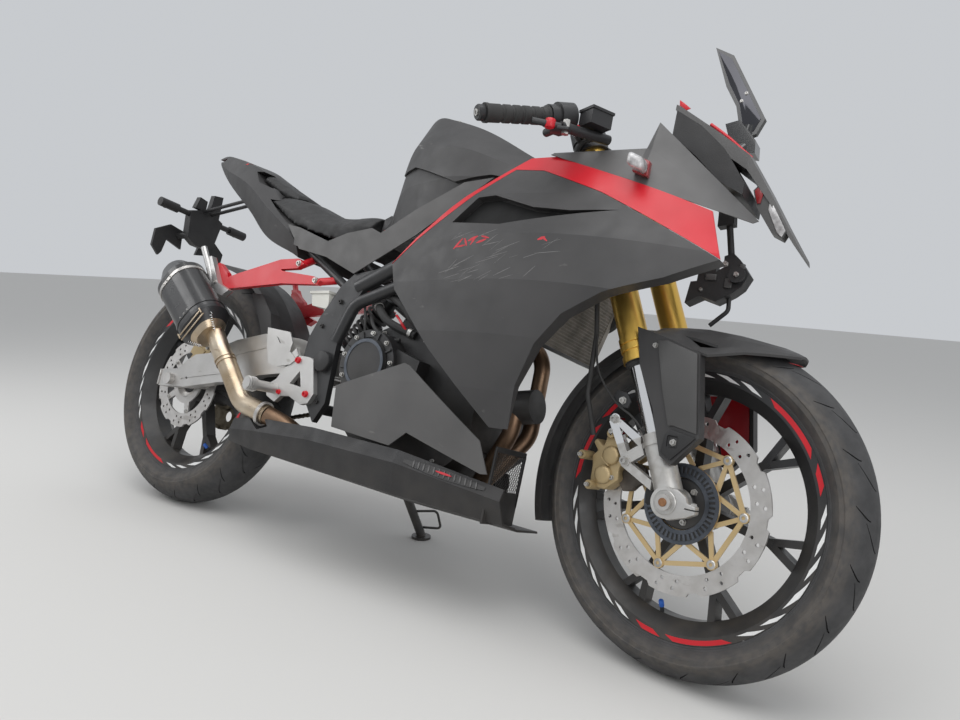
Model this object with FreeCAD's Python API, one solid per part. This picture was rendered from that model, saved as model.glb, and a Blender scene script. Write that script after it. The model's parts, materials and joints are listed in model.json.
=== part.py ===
import FreeCAD
import Part
import math
import os

# Sport motorcycle, upright and straight ahead while it is drawn: X forward, Y left, Z up, in mm.
# The rear axle is above X = 0. At the end the front assembly is turned and the whole machine leans.
# The left side fairing, left upper cowl, screen and headlamp are missing, as on the real machine.

# Stance
WHEELBASE = 1390.0
REAR_AXLE_Z = 311.0
FRONT_AXLE_Z = 292.8
CASTER = 24.5
LEAN = 14.94
STEER_REST = -7.9

# Wheels and tyres
BEAD_R = 219.0
FLANGE = 11.0
RIM_WALL = 5.0
FRONT_TYRE_R = 293.0
FRONT_TYRE_W = 110.0
FRONT_CROWN_DROP = 31.0
FRONT_BEAD_Y = 33.0
REAR_TYRE_R = 314.0
REAR_TYRE_W = 140.0
REAR_CROWN_DROP = 46.0
REAR_BEAD_Y = 46.0
SPOKES = 7
FRONT_SPOKE_W = 17.0
REAR_SPOKE_W = 19.0
HUB_R = 44.0
AXLE_R = 10.0
SHAFT_GAP = 0.05
SEAT_GAP = 0.3

# Fork and steering
FORK_Y = 92.0
FORK_OFFSET = 35.0
FORK_TUBE_R = 26.0
FORK_LEG_R = 18.5
FORK_TUBE_LOW = 250.0
FORK_TUBE_TOP = 740.0
FORK_FOOT_TOP = 118.0
FORK_FOOT_R = 23.5
STEM_R = 14.0
HEAD_R = 26.0
LOW_YOKE_S = 505.0
TOP_YOKE_S = 682.0
BAR_R = 11.0
GRIP_R = 16.0
HOSE_R = 4.5

# Brakes
FRONT_DISC_R = 152.0
FRONT_DISC_IN = 118.0
FRONT_DISC_Y = -53.0
REAR_DISC_R = 120.0
REAR_DISC_IN = 84.0
REAR_DISC_Y = -62.0
DISC_T = 4.5
BOBBINS = 7

# Panels
PANEL_T = 4.0
COVER_Y = 141.0

# Engine, frame and swingarm
PIVOT_X = 555.0
PIVOT_Z = 420.0
SPAR_R = 17.0
PLATE_Y = 116.0
PLATE_T = 16.0
ENGINE_HALF = 110.0
CLUTCH_R = 74.0
ARM_Y = 88.0
ARM_T = 28.0
AXLE_HALF = 126.0
SPOOL_R = 3.0
SPOOL_X = 60.0
SPOOL_Z = 322.0
CHAIN_Y = 78.0
SPROCKET_R = 98.0
FRONT_SPROCKET_R = 33.0
CHAIN_H = 13.0

# Side stand
STAND_X = 588.0
STAND_Y = 124.0
STAND_Z = 232.0
STAND_FOOT_X = 650.0
STAND_FOOT_Y = 240.0
STAND_R = 11.0

V = FreeCAD.Vector
Y_AXIS = V(0, 1, 0)
SIN_C = math.sin(math.radians(CASTER))
COS_C = math.cos(math.radians(CASTER))
TRAIL = FRONT_AXLE_Z * SIN_C / COS_C - FORK_OFFSET / COS_C
TAN_LEAN = math.tan(math.radians(LEAN))
FORK_UP = V(-SIN_C, 0, COS_C)
FORK_AHEAD = V(COS_C, 0, SIN_C)
STEER_POINT = V(WHEELBASE + TRAIL, 0, 0)
REAR_AXLE = V(0, 0, REAR_AXLE_Z)
FRONT_AXLE = V(WHEELBASE, 0, FRONT_AXLE_Z)
PIVOT = V(PIVOT_X, 0, PIVOT_Z)

pieces = {}
steered = []


def bar(start, end, radius):
    """A round bar from one point to another."""
    run = end - start
    return Part.makeCylinder(radius, run.Length, start, run)


def face_of(points):
    """A flat face with straight edges."""
    return Part.Face(Part.makePolygon(list(points) + [points[0]]))


def slab(outline, y_start, y_end):
    """A flat plate: an outline of X and Z values, extruded from one Y to another."""
    face = face_of([V(x, y_start, z) for x, z in outline])
    return face.extrude(V(0, y_end - y_start, 0))


def grown(outline, width):
    """A side-view outline with every corner pushed outward; the corners run clockwise."""
    corners = []
    for before, corner, after in zip(outline[-1:] + outline[:-1], outline, outline[1:] + outline[:1]):
        along = []
        for p, q in ((before, corner), (corner, after)):
            length = math.hypot(q[0] - p[0], q[1] - p[1])
            along.append(((q[0] - p[0]) / length, (q[1] - p[1]) / length))
        (ax, az), (bx, bz) = along
        reach = width / max(0.3, 1.0 + ax * bx + az * bz)
        corners.append((corner[0] - (az + bz) * reach, corner[1] + (ax + bx) * reach))
    return corners


def ring(profile, centre, angle=360.0, start=0.0):
    """An outline of radius and Y values turned about a cross axis, from a start angle above +X."""
    face = face_of([V(centre.x + r, y, centre.z) for r, y in profile])
    face.rotate(V(centre.x, 0, centre.z), Y_AXIS, -start)
    return face.revolve(V(centre.x, 0, centre.z), Y_AXIS, -angle)


def disc(centre, radius, y_start, y_end):
    """A round plate across the machine."""
    base = V(centre.x, y_start, centre.z)
    return Part.makeCylinder(radius, y_end - y_start, base, Y_AXIS)


def fused(shapes):
    """One solid from shapes that overlap."""
    whole = shapes[0]
    for other in shapes[1:]:
        whole = whole.fuse(other)
    return whole.removeSplitter()


def bent(points, radius, bend):
    """A round rod through the points with the same bend at each corner."""
    last = points[0]
    parts = []
    for before, corner, after in zip(points, points[1:], points[2:]):
        a = (before - corner).normalize()
        b = (after - corner).normalize()
        half = a.getAngle(b) / 2.0
        cut = min(bend / math.tan(half), 0.48 * (before - corner).Length, 0.48 * (after - corner).Length)
        start = corner + a * cut
        centre = corner + (a + b).normalize() * (cut / math.cos(half))
        parts.append(bar(last, start, radius))
        circle = Part.Face(Part.Wire(Part.makeCircle(radius, start, a)))
        turn = 180.0 - math.degrees(2.0 * half)
        parts.append(circle.revolve(centre, b.cross(a), turn))
        last = corner + b * cut
    parts.append(bar(last, points[-1], radius))
    return fused(parts)


def loft(sections, ruled=True):
    """A solid through outlines that all have the same number of corners."""
    wires = [Part.makePolygon(list(s) + [s[0]]) for s in sections]
    return Part.makeLoft(wires, True, ruled)


def hull_loft(rows, ruled=False):
    """A solid symmetrical left and right through rows of half width and height, centre first, at each X."""
    sections = []
    for x, row in rows:
        sections.append([V(x, -y, z) for y, z in row] + [V(x, y, z) for y, z in reversed(row) if y > 0])
    return loft(sections, ruled)


def both(half):
    """The half on the right side and its mirror image, as separate shapes."""
    return half, half.mirror(V(0, 0, 0), Y_AXIS)


def fork_point(s, y, ahead=0.0):
    """A point beside the fork: distance up the fork from the front axle, Y, and distance ahead of the tube."""
    return V(FRONT_AXLE.x, y, FRONT_AXLE.z) + FORK_UP * s + FORK_AHEAD * ahead


def around(shape, centre, copies, start=0.0):
    """Copies of a shape turned evenly about a cross axis."""
    turned = []
    for k in range(copies):
        copy = shape.copy()
        copy.rotate(centre, Y_AXIS, start + 360.0 * k / copies)
        turned.append(copy)
    return turned


def biggest(shape):
    """The largest solid of a shape, once cuts have left chips."""
    return max(shape.Solids, key=lambda s: s.Volume)


def keep(name, shape, turns=False):
    """Files a finished piece under its name."""
    pieces[name] = shape
    if turns:
        steered.append(name)


# Tyres: rounded crown and side walls, seated on the rim flanges
def tyre(centre, radius, width, drop, bead_y):
    half = width / 2.0
    crown_r = (half * half + drop * drop) / (2.0 * drop)
    angle = math.asin(half / crown_r)
    crown = []
    for k in (-3, -1, 1, 3):
        a = angle * k / 3.0
        crown.append((radius - crown_r + crown_r * math.cos(a), crown_r * math.sin(a)))
    low = BEAD_R + FLANGE + SEAT_GAP
    heel = bead_y + RIM_WALL
    return ring([(low, -heel)] + crown + [(low, heel)], centre)


keep("front_tyre", tyre(FRONT_AXLE, FRONT_TYRE_R, FRONT_TYRE_W, FRONT_CROWN_DROP, FRONT_BEAD_Y), True)
keep("rear_tyre", tyre(REAR_AXLE, REAR_TYRE_R, REAR_TYRE_W, REAR_CROWN_DROP, REAR_BEAD_Y))


# Cast wheels: rim ring, hub and seven spokes that fork at the rim
def wheel(centre, bead_y, hub_right, hub_left, spoke_w):
    side = [(BEAD_R + FLANGE, bead_y), (BEAD_R + FLANGE, bead_y + RIM_WALL),
            (BEAD_R - 3.0, bead_y + RIM_WALL), (BEAD_R - 26.0, bead_y * 0.45)]
    well = [(BEAD_R - 18.0, -bead_y * 0.45), (BEAD_R - 18.0, bead_y * 0.45)]
    rim = ring([(r, -y) for r, y in reversed(side)] + well + side, centre)
    arm_out = BEAD_R - 70.0
    w = spoke_w / 2.0
    arm = slab([(HUB_R - 6.0, -w), (arm_out, -w * 0.8), (arm_out, w * 0.8), (HUB_R - 6.0, w)], -15.0, 15.0)
    arm = arm.cut(slab([(HUB_R + 8.0, -w * 0.5), (arm_out - 8.0, -w * 0.3), (arm_out - 8.0, w * 0.3),
                        (HUB_R + 8.0, w * 0.5)], 10.0, 16.0))
    legs = [arm]
    for turn in (-1.0, 1.0):
        corners = [(arm_out - 8.0, -turn * w * 0.7), (BEAD_R - 22.0, turn * 15.0),
                   (BEAD_R - 22.0, turn * 29.0), (arm_out - 8.0, turn * w * 0.8)]
        legs.append(slab(corners, -14.0, 14.0))
    spoke = fused(legs)
    spoke.translate(V(centre.x, 0, centre.z))
    shapes = [rim, disc(centre, HUB_R, hub_right, hub_left)] + around(spoke, centre, SPOKES, 13.0)
    return fused(shapes).cut(disc(centre, AXLE_R + SHAFT_GAP, hub_right - 1.0, hub_left + 1.0))


keep("front_wheel", wheel(FRONT_AXLE, FRONT_BEAD_Y, -44.0, 44.0, FRONT_SPOKE_W), True)
keep("rear_wheel", wheel(REAR_AXLE, REAR_BEAD_Y, -50.0, 60.0, REAR_SPOKE_W))


# Brake discs with ten notches and pairs of cooling holes
def brake_disc(centre, outer, inner, y_mid, notches):
    y_start = y_mid - DISC_T / 2.0
    y_end = y_mid + DISC_T / 2.0
    plate = disc(centre, outer, y_start, y_end)
    notch = slab([(outer - 6.0, -9.0), (outer + 4.0, -18.0), (outer + 4.0, 18.0), (outer - 6.0, 6.0)],
                 y_start - 1.0, y_end + 1.0)
    notch.translate(V(centre.x, 0, centre.z))
    cutters = around(notch, centre, notches)
    for share, angle in ((0.3, 12.0), (0.68, 15.0), (0.3, 24.0), (0.68, 27.0)):
        r = inner + share * (outer - inner)
        hole = disc(centre + V(r, 0, 0), 3.2, y_start - 1.0, y_end + 1.0)
        cutters += around(hole, centre, notches, angle)
    cutters.append(disc(centre, inner, y_start - 1.0, y_end + 1.0))
    return plate.cut(Part.makeCompound(cutters))


front_disc = brake_disc(FRONT_AXLE, FRONT_DISC_R, FRONT_DISC_IN, FRONT_DISC_Y, 10)
keep("front_brake_disc", front_disc, True)

# Front disc carrier: links between seven bobbins, pairs of struts to the hub ring, slotted speed ring
carrier_y = (FRONT_DISC_Y - 2.0, FRONT_DISC_Y + 2.0)
bobbin_r = FRONT_DISC_IN - 9.0
step = 360.0 / BOBBINS
link_far = bobbin_r * math.cos(math.radians(step / 2.0))
link_half = bobbin_r * math.sin(math.radians(step / 2.0))
link = slab([(link_far - 4.0, -link_half), (link_far - 4.0, link_half), (link_far + 4.0, link_half),
             (link_far + 4.0, -link_half)], *carrier_y)
link.translate(V(FRONT_AXLE.x, 0, FRONT_AXLE.z))
struts = []
for turn in (-1.0, 1.0):
    strut = slab([(58.0, turn * 21.0), (64.0, turn * 27.0), (bobbin_r, turn * 4.0),
                  (bobbin_r, turn * -4.0)], *carrier_y)
    strut.translate(V(FRONT_AXLE.x, 0, FRONT_AXLE.z))
    struts += around(strut, FRONT_AXLE, BOBBINS)
bobbin = disc(FRONT_AXLE + V(bobbin_r, 0, 0), 9.0 - SHAFT_GAP, FRONT_DISC_Y - 4.0, FRONT_DISC_Y + 4.0)
carrier = around(link, FRONT_AXLE, BOBBINS, step / 2.0) + struts + around(bobbin, FRONT_AXLE, BOBBINS)
carrier.append(ring([(67.0, FRONT_DISC_Y - 5.5), (67.0, carrier_y[1]), (56.0, carrier_y[1]),
                     (50.0, -44.0 - SHAFT_GAP), (26.0, -44.0 - SHAFT_GAP), (26.0, FRONT_DISC_Y + 4.0),
                     (45.0, FRONT_DISC_Y + 1.0), (45.0, FRONT_DISC_Y - 5.5)], FRONT_AXLE))
keep("front_disc_carrier", fused(carrier), True)

# Rear disc with its flange on the hub
rear_disc = brake_disc(REAR_AXLE, REAR_DISC_R, REAR_DISC_IN, REAR_DISC_Y, 10)
spider = ring([(56.0, REAR_DISC_Y - 2.0), (56.0, REAR_DISC_Y + 2.0), (46.0, REAR_DISC_Y + 4.0),
               (46.0, -50.0 - SHAFT_GAP), (26.0, -50.0 - SHAFT_GAP), (26.0, REAR_DISC_Y + 6.0),
               (40.0, REAR_DISC_Y - 2.0)], REAR_AXLE)
lug = slab([(50.0, -10.0), (REAR_DISC_IN + 2.0, -7.0), (REAR_DISC_IN + 2.0, 7.0), (50.0, 10.0)],
           REAR_DISC_Y - 2.0, REAR_DISC_Y + 2.0)
lug.translate(REAR_AXLE)
keep("rear_brake_disc", fused([rear_disc, spider] + around(lug, REAR_AXLE, 5)))

# Front axle with its nut
front_out = FORK_Y + FORK_FOOT_R + 1.0
nut = disc(FRONT_AXLE, 13.0, -front_out - 8.0, -front_out)
keep("front_axle", fused([disc(FRONT_AXLE, AXLE_R, -front_out - 2.0, front_out), nut]), True)

# Fork: gold outer tubes with two grooves, bright inner legs in cast feet, caliper arms on the right foot
foot_arms = [[(1318.0, 392.0), (1258.0, 424.0), (1252.0, 408.0), (1286.0, 352.0), (1300.0, 356.0),
              (1274.0, 402.0), (1322.0, 372.0)], [(1322.0, 380.0), (1288.0, 356.0), (1290.0, 336.0),
                                                  (1352.0, 306.0), (1352.0, 322.0), (1306.0, 344.0),
                                                  (1330.0, 362.0)]]
for name, y in (("right", -FORK_Y), ("left", FORK_Y)):
    low = fork_point(FORK_TUBE_LOW, y)
    tube = bar(low, fork_point(FORK_TUBE_TOP, y), FORK_TUBE_R)
    for s in (0.0, 20.0, 34.0):
        tube = tube.fuse(bar(fork_point(FORK_TUBE_LOW + s, y), fork_point(FORK_TUBE_LOW + s + 11.0, y),
                             FORK_TUBE_R + 2.0))
    bore = bar(fork_point(FORK_TUBE_LOW - 1.0, y), fork_point(FORK_TUBE_TOP - 12.0, y),
               FORK_LEG_R + SHAFT_GAP)
    keep("fork_tube_" + name, tube.cut(bore), True)
    leg = bar(fork_point(30.0, y), fork_point(FORK_TUBE_LOW + 160.0, y), FORK_LEG_R)
    foot = [bar(fork_point(0.0, y), fork_point(FORK_FOOT_TOP, y), FORK_FOOT_R),
            bar(fork_point(FORK_FOOT_TOP - 20.0, y), fork_point(FORK_FOOT_TOP - 12.0, y), FORK_FOOT_R + 2.5),
            disc(FRONT_AXLE, 26.0, y - FORK_FOOT_R - 1.0, y + FORK_FOOT_R)]
    if name == "right":
        foot += [slab(outline, y - 9.0, y + 5.0) for outline in foot_arms]
        foot += [disc(V(x, 0, z), 10.0, y - 11.0, y + 7.0) for x, z in ((1264.0, 414.0), (1296.0, 346.0))]
    foot = fused([leg] + foot).cut(disc(FRONT_AXLE, AXLE_R + SHAFT_GAP, y - 40.0, y + 40.0))
    keep("fork_leg_" + name, foot, True)


# Yokes with the steering stem
def yoke(s, thick, back):
    outline = []
    for y, ahead in ((-FORK_Y, -22.0), (-FORK_Y, 22.0), (FORK_Y, 22.0), (FORK_Y, -22.0),
                     (24.0, -FORK_OFFSET - back), (-24.0, -FORK_OFFSET - back)):
        outline.append(fork_point(s, y, ahead))
    plate = face_of(outline).extrude(FORK_UP * thick)
    for y in (-FORK_Y, FORK_Y):
        plate = plate.fuse(bar(fork_point(s, y), fork_point(s + thick, y), FORK_TUBE_R + 7.0))
    for y in (-FORK_Y, FORK_Y):
        plate = plate.cut(bar(fork_point(s - 5.0, y), fork_point(s + thick + 5.0, y), FORK_TUBE_R))
    return plate


low_yoke = yoke(LOW_YOKE_S, 30.0, 30.0)
top_yoke = yoke(TOP_YOKE_S, 20.0, 26.0)
stem = bar(fork_point(LOW_YOKE_S + 5.0, 0, -FORK_OFFSET), fork_point(TOP_YOKE_S + 18.0, 0, -FORK_OFFSET),
           STEM_R)
keep("steering_yokes", fused([low_yoke, top_yoke, stem]), True)

# Handlebars: clamp, bar, grip and switch housing
GRIP_IN = V(1085.0, -222.0, 941.0)
GRIP_OUT = V(1036.0, -338.0, 905.0)
BAR_DIR = (GRIP_OUT - GRIP_IN).normalize()
clamp_low = TOP_YOKE_S + 24.0
clamp_top = clamp_low + 30.0
clamp = bar(fork_point(clamp_low, -FORK_Y), fork_point(clamp_top, -FORK_Y), FORK_TUBE_R + 8.0)
clamp = clamp.cut(bar(fork_point(clamp_low - 6.0, -FORK_Y), fork_point(clamp_top + 9.0, -FORK_Y),
                      FORK_TUBE_R))
bar_start = fork_point(clamp_low + 15.0, -FORK_Y - FORK_TUBE_R - 4.0)
switch = [bar(GRIP_IN - BAR_DIR * 24.0, GRIP_IN - BAR_DIR * 1.0, 22.0),
          bar(GRIP_IN - BAR_DIR * 52.0, GRIP_IN - BAR_DIR * 20.0, 27.0)]
right_bar = fused([clamp, bar(bar_start, GRIP_IN - BAR_DIR * 8.0, BAR_R),
                   bar(GRIP_IN - BAR_DIR * 12.0, GRIP_OUT + BAR_DIR * 4.0, BAR_R)] + switch)
right_bar, left_bar = both(right_bar)
keep("handlebar_right", right_bar, True)
keep("handlebar_left", left_bar, True)
grip = [bar(GRIP_IN, GRIP_OUT, GRIP_R), bar(GRIP_IN, GRIP_IN + BAR_DIR * 6.0, GRIP_R + 4.0),
        bar(GRIP_OUT - BAR_DIR * 5.0, GRIP_OUT, GRIP_R + 2.0),
        bar(GRIP_OUT, GRIP_OUT + BAR_DIR * 14.0, GRIP_R - 1.5)]
grip = fused(grip).cut(bar(GRIP_IN - BAR_DIR * 5.0, GRIP_OUT + BAR_DIR * 4.0, BAR_R + SHAFT_GAP))
right_grip, left_grip = both(grip)
keep("grip_right", right_grip, True)
keep("grip_left", left_grip, True)

# Front brake cylinder with its fluid box; the lever is broken off at its stub
box_centre = V(1153.0, -164.0, 948.0)
BOX_L = 40.0
BOX_W = 46.0
BOX_H = 28.0
LID_H = 5.0
LID_EDGE = 2.0
reservoir = Part.makeBox(BOX_L, BOX_W, BOX_H, V(-BOX_L / 2.0, -BOX_W / 2.0, -BOX_H / 2.0))
lid = Part.makeBox(BOX_L + 2.0 * LID_EDGE, BOX_W + 2.0 * LID_EDGE, LID_H,
                   V(-BOX_L / 2.0 - LID_EDGE, -BOX_W / 2.0 - LID_EDGE, BOX_H / 2.0 - 1.0))
reservoir = reservoir.fuse(lid)
reservoir.rotate(V(0, 0, 0), V(0, 0, 1), -20.0)
reservoir.translate(box_centre)
cylinder_start = box_centre + V(4.0, 44.0, -20.0)
cylinder_end = V(1130.0, -234.0, 912.0)
stub_end = cylinder_end + V(-34.0, -42.0, -2.0)
master = fused([reservoir, bar(cylinder_start, cylinder_end, 9.5), bar(cylinder_end, stub_end, 6.0),
                bar(cylinder_end + V(-6.0, 4.0, 0), cylinder_end + V(-52.0, 26.0, 4.0), 8.0)])
grip_room = bar(GRIP_IN - BAR_DIR * 2.0, GRIP_OUT, GRIP_R + 6.0)
keep("front_brake_cylinder", biggest(master.cut(right_bar).cut(grip_room)), True)

# Front fender: a thin blade over the tyre that narrows to its tip, an air slot in each shoulder,
# flat guards outside the fork legs and a curved tail behind them
FENDER_T = 4.0
SHOULDER_Y = 124.0
fender_rows = [
    # X, then half width and height from the crest to the edge
    (1292.0, [(0, 597.0), (38, 593.0), (62, 583.0), (104, 577.0), (SHOULDER_Y, 570.0)]),
    (1340.0, [(0, 600.5), (38, 596.0), (62, 588.0), (104, 569.0), (SHOULDER_Y, 560.0)]),
    (1380.0, [(0, 600.0), (38, 596.0), (62, 586.0), (104, 561.5), (SHOULDER_Y, 551.0)]),
    (1423.0, [(0, 595.5), (38, 591.0), (60, 581.0), (100, 554.0), (120, 541.0)]),
    (1442.0, [(0, 592.0), (34, 588.0), (54, 579.0), (84, 561.0), (100, 548.0)]),
    (1467.0, [(0, 587.0), (28, 584.5), (44, 578.0), (66, 565.0), (80, 556.0)]),
    (1502.0, [(0, 580.0), (20, 578.5), (34, 574.0), (51, 566.0), (62, 559.0)]),
    (1524.0, [(0, 573.0), (14, 572.5), (24, 570.5), (36, 566.0), (45, 561.0)]),
    (1536.0, [(0, 568.0), (5, 568.0), (9, 567.0), (14, 566.0), (18, 564.0)]),
]
blade_rows = [(x, row + [(max(0.0, y - 1.5), z - FENDER_T) for y, z in reversed(row)]) for x,
              row in fender_rows]
blade = hull_loft(blade_rows, True)
fender_tail = ring([(286.0, -66.0), (302.0, -62.0), (313.0, -38.0), (317.0, 0.0), (313.0, 38.0),
                    (302.0, 62.0), (286.0, 66.0), (286.0, 63.0), (300.5, 59.0), (310.0, 36.0), (313.5, 0.0),
                    (310.0, -36.0), (300.5, -59.0), (286.0, -63.0)], FRONT_AXLE, 92.0, 106.0)
guard_outline = [(1290.0, 578.0), (1352.0, 562.0), (1412.0, 542.0), (1434.0, 404.0), (1392.0, 354.0),
                 (1370.0, 366.0), (1344.0, 440.0), (1306.0, 512.0)]
guard_lip = [(1412.0, 542.0), (1434.0, 404.0), (1392.0, 354.0), (1386.0, 362.0), (1428.0, 406.0),
             (1406.0, 534.0)]
guard = slab(guard_outline, -SHOULDER_Y, FENDER_T - SHOULDER_Y).fuse(slab(guard_lip, -SHOULDER_Y,
                                                                          20.0 - SHOULDER_Y))
slot_corners = [(1361.0, -86.0), (1424.0, -87.0), (1427.0, -95.0), (1403.0, -108.0)]
air_slot = face_of([V(x, y, 500.0) for x, y in slot_corners]).extrude(V(0, 0, 120.0))
fender = fused([blade, fender_tail] + list(both(guard)))
for tool in both(air_slot):
    fender = fender.cut(tool)
for y in (-FORK_Y, FORK_Y):
    fender = fender.cut(bar(fork_point(-40.0, y), fork_point(FORK_TUBE_TOP, y), FORK_TUBE_R + 2.0 + SEAT_GAP))
keep("front_fender", biggest(fender), True)

# Front brake caliper behind the right leg, bolted to the foot's two arms
caliper_outline = [(1258.0, 392.0), (1240.0, 388.0), (1212.0, 366.0), (1202.0, 336.0), (1212.0, 300.0),
                   (1240.0, 284.0), (1270.0, 290.0), (1288.0, 322.0), (1284.0, 370.0)]
caliper = fused([slab(caliper_outline, -92.0, -36.0), disc(V(1258.0, 0, 392.0), 11.0, -96.0, -62.0),
                 disc(V(1208.0, 0, 342.0), 6.0, -108.0, -62.0),
                 disc(V(1232.0, 0, 292.0), 6.0, -108.0, -62.0)])
caliper = caliper.cut(slab([(1216.0, 342.0), (1236.0, 384.0), (1240.0, 382.0), (1222.0, 342.0),
                            (1236.0, 296.0), (1230.0, 296.0)], -94.0, -89.0))
caliper = caliper.cut(disc(FRONT_AXLE, FRONT_DISC_R + 6.0, FRONT_DISC_Y - 5.0, FRONT_DISC_Y + 5.0))
caliper = caliper.cut(disc(FRONT_AXLE, BEAD_R - 26.0, FRONT_DISC_Y + 4.0,
                           0.0).cut(disc(FRONT_AXLE, 90.0, -60.0, 0.0)))
keep("front_brake_caliper", biggest(caliper.cut(pieces["fork_leg_right"])), True)

# Brake hose from the caliper up behind the fork to the cylinder
hose_path = [V(1220.0, -94.0, 380.0), V(1204.0, -112.0, 450.0), V(1204.0, -116.0, 560.0),
             V(1185.0, -124.0, 690.0), V(1098.0, -120.0, 800.0), V(1090.0, -120.0, 868.0),
             V(1100.0, -132.0, 926.0), V(1136.0, -128.0, 930.0), cylinder_start + V(-1.0, -8.0, 0)]
hose = bent(hose_path, HOSE_R, 40.0)
for name in ("front_brake_caliper", "front_brake_cylinder", "steering_yokes", "handlebar_right"):
    hose = hose.cut(pieces[name])
keep("front_brake_hose", biggest(hose), True)


# Body panels: rows of (half width, height) from top to bottom at each X, on the right side
def skin(stations, thick=PANEL_T, ruled=False, inset=0.0):
    """A curved shell on the right side, its outer face inset from the rows."""
    sections = []
    for x, row in stations:
        outer = [V(x, inset - y, z) for y, z in row]
        inner = [V(x, inset + thick - y, z) for y, z in reversed(row)]
        sections.append(outer + inner)
    return loft(sections, ruled)


def cut_out(shell, outline):
    """The part of a shell inside a side-view outline."""
    return shell.common(slab(outline, -420.0, -10.0))


side_rows = [(640.0, [(100, 980), (140, 860), (172, 760), (186, 680), (190, 600), (186, 500), (176, 400),
                      (160, 300), (140, 200)]), (800.0, [(118, 980), (150, 880), (186, 780), (204, 690),
                                                         (208, 600), (204, 500), (194, 400), (180, 300),
                                                         (160, 200)]),
             (1000.0, [(122, 980), (152, 880), (196, 790), (226, 700), (232, 610), (226, 510), (212, 410),
                       (192, 310), (168, 200)]), (1200.0, [(112, 980), (146, 880), (188, 790), (224, 700),
                                                           (236, 610), (226, 510), (208, 410), (186, 310),
                                                           (160, 200)]),
             (1450.0, [(50, 980), (74, 880), (100, 790), (128, 700), (140, 610), (140, 510), (140, 410),
                       (140, 310), (130, 200)]),]
# Side fairing with a turned-in lower lip and a recessed gill
fairing_outline = [(746.0, 636.0), (870.0, 752.0), (975.0, 850.0), (1040.0, 846.0), (1180.0, 794.0),
                   (1290.0, 742.0), (1404.0, 688.0), (1330.0, 640.0), (1242.0, 602.0), (1176.0, 558.0),
                   (1134.0, 502.0), (1106.0, 426.0), (1100.0, 330.0), (1096.0, 257.0), (1070.0, 262.0),
                   (1068.0, 342.0), (897.0, 470.0), (770.0, 583.0),]
lip_outline = [(1404.0, 688.0), (1330.0, 640.0), (1242.0, 602.0), (1176.0, 558.0), (1134.0, 502.0),
               (1106.0, 426.0), (1100.0, 330.0), (1097.0, 331.0), (1102.0, 427.0), (1130.0, 504.0),
               (1173.0, 562.0), (1240.0, 606.0), (1328.0, 644.0), (1396.0, 687.0)]
gill_outline = [(880.0, 726.0), (922.0, 782.0), (962.0, 786.0), (1060.0, 758.0), (1138.0, 752.0),
                (1228.0, 758.0), (1000.0, 720.0)]
GILL_DEPTH = 22.0
side_skin = skin(side_rows)
gill_hole = slab(gill_outline, -420.0, -10.0)
gill_wide = slab(grown(gill_outline, 3.0), -420.0, -10.0)
gill_wall = skin(side_rows, GILL_DEPTH).common(gill_wide).cut(gill_hole)
gill_floor = skin(side_rows, 3.0, inset=GILL_DEPTH - 3.0).common(gill_wide)
lip = cut_out(skin(side_rows, 34.0), lip_outline)
fairing = fused([cut_out(side_skin, fairing_outline).cut(gill_hole), lip, gill_wall, gill_floor])
fairing = biggest(fairing.cut(disc(FRONT_AXLE, FRONT_TYRE_R + 44.0, -200.0, 0.0)))
keep("side_fairing_right", fairing)
band_outline = [(744.0, 637.0), (870.0, 753.0), (975.0, 851.0), (1040.0, 847.0), (1180.0, 795.0),
                (1290.0, 743.0), (1404.0, 689.0), (1372.0, 776.0), (1180.0, 838.0), (1050.0, 882.0),
                (995.0, 880.0), (860.0, 760.0),]
keep("fairing_band_right", cut_out(side_skin, band_outline).cut(fairing))

# Upper side cowl: a creased wedge that points forward, with an upright fin at its top edge
cowl_rows = [
    (1040.0, [(147, 892), (150, 889), (157, 884)]),
    (1220.0, [(124, 905), (127, 902), (160, 828)]),
    (1234.0, [(120, 957), (134, 898), (160, 822)]),
    (1420.0, [(46, 798), (62, 790), (78, 782)]),
]
cowl = skin(cowl_rows, 3.5, True)
keep("upper_cowl_right", biggest(cowl.cut(pieces["fairing_band_right"])))

# Nose: narrow strip left of the missing lamp, its small position lamp and the black lamp bracket behind it
nose_rows = [(1209.0, 1057.0, 1040.0, 22.0), (1256.0, 1026.0, 1004.0, 34.0), (1311.0, 988.0, 950.0, 44.0),
             (1374.0, 941.0, 906.0, 50.0), (1425.0, 865.0, 842.0, 42.0), (1466.0, 800.0, 782.0, 28.0),
             (1504.0, 742.0, 734.0, 12.0),]
nose = loft([[V(x, -w * 0.4, zt - 6.0), V(x, w * 0.3, zt), V(x, w, zt - 4.0), V(x, w, zl), V(x, -w * 0.4, zl)]
             for x, zt, zl, w in nose_rows])
keep("nose_cowl", nose)
lamp_outline = [(1391.0, 868.0), (1404.0, 884.0), (1428.0, 850.0), (1462.0, 792.0), (1456.0, 778.0),
                (1436.0, 788.0), (1402.0, 836.0)]
keep("position_lamp", biggest(slab(lamp_outline, -14.0, 10.0).cut(nose)))
lamp_rows = ((1236.0, 1010.0, 960.0), (1290.0, 976.0, 916.0), (1340.0, 930.0, 868.0), (1388.0, 862.0, 840.0))
lamp_back = loft([[V(x, -62.0, zt), V(x, 62.0, zt), V(x, 62.0, zl), V(x, -62.0, zl)] for x, zt,
                  zl in lamp_rows])
lamp_back = lamp_back.fuse(slab([(1270.0, 960.0), (1330.0, 900.0), (1200.0, 860.0), (1120.0, 846.0),
                                 (1120.0, 870.0), (1200.0, 900.0)], -14.0, 14.0))
lamp_back = lamp_back.cut(nose).cut(pieces["position_lamp"]).cut(pieces["upper_cowl_right"])
keep("lamp_bracket", biggest(lamp_back))

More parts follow.
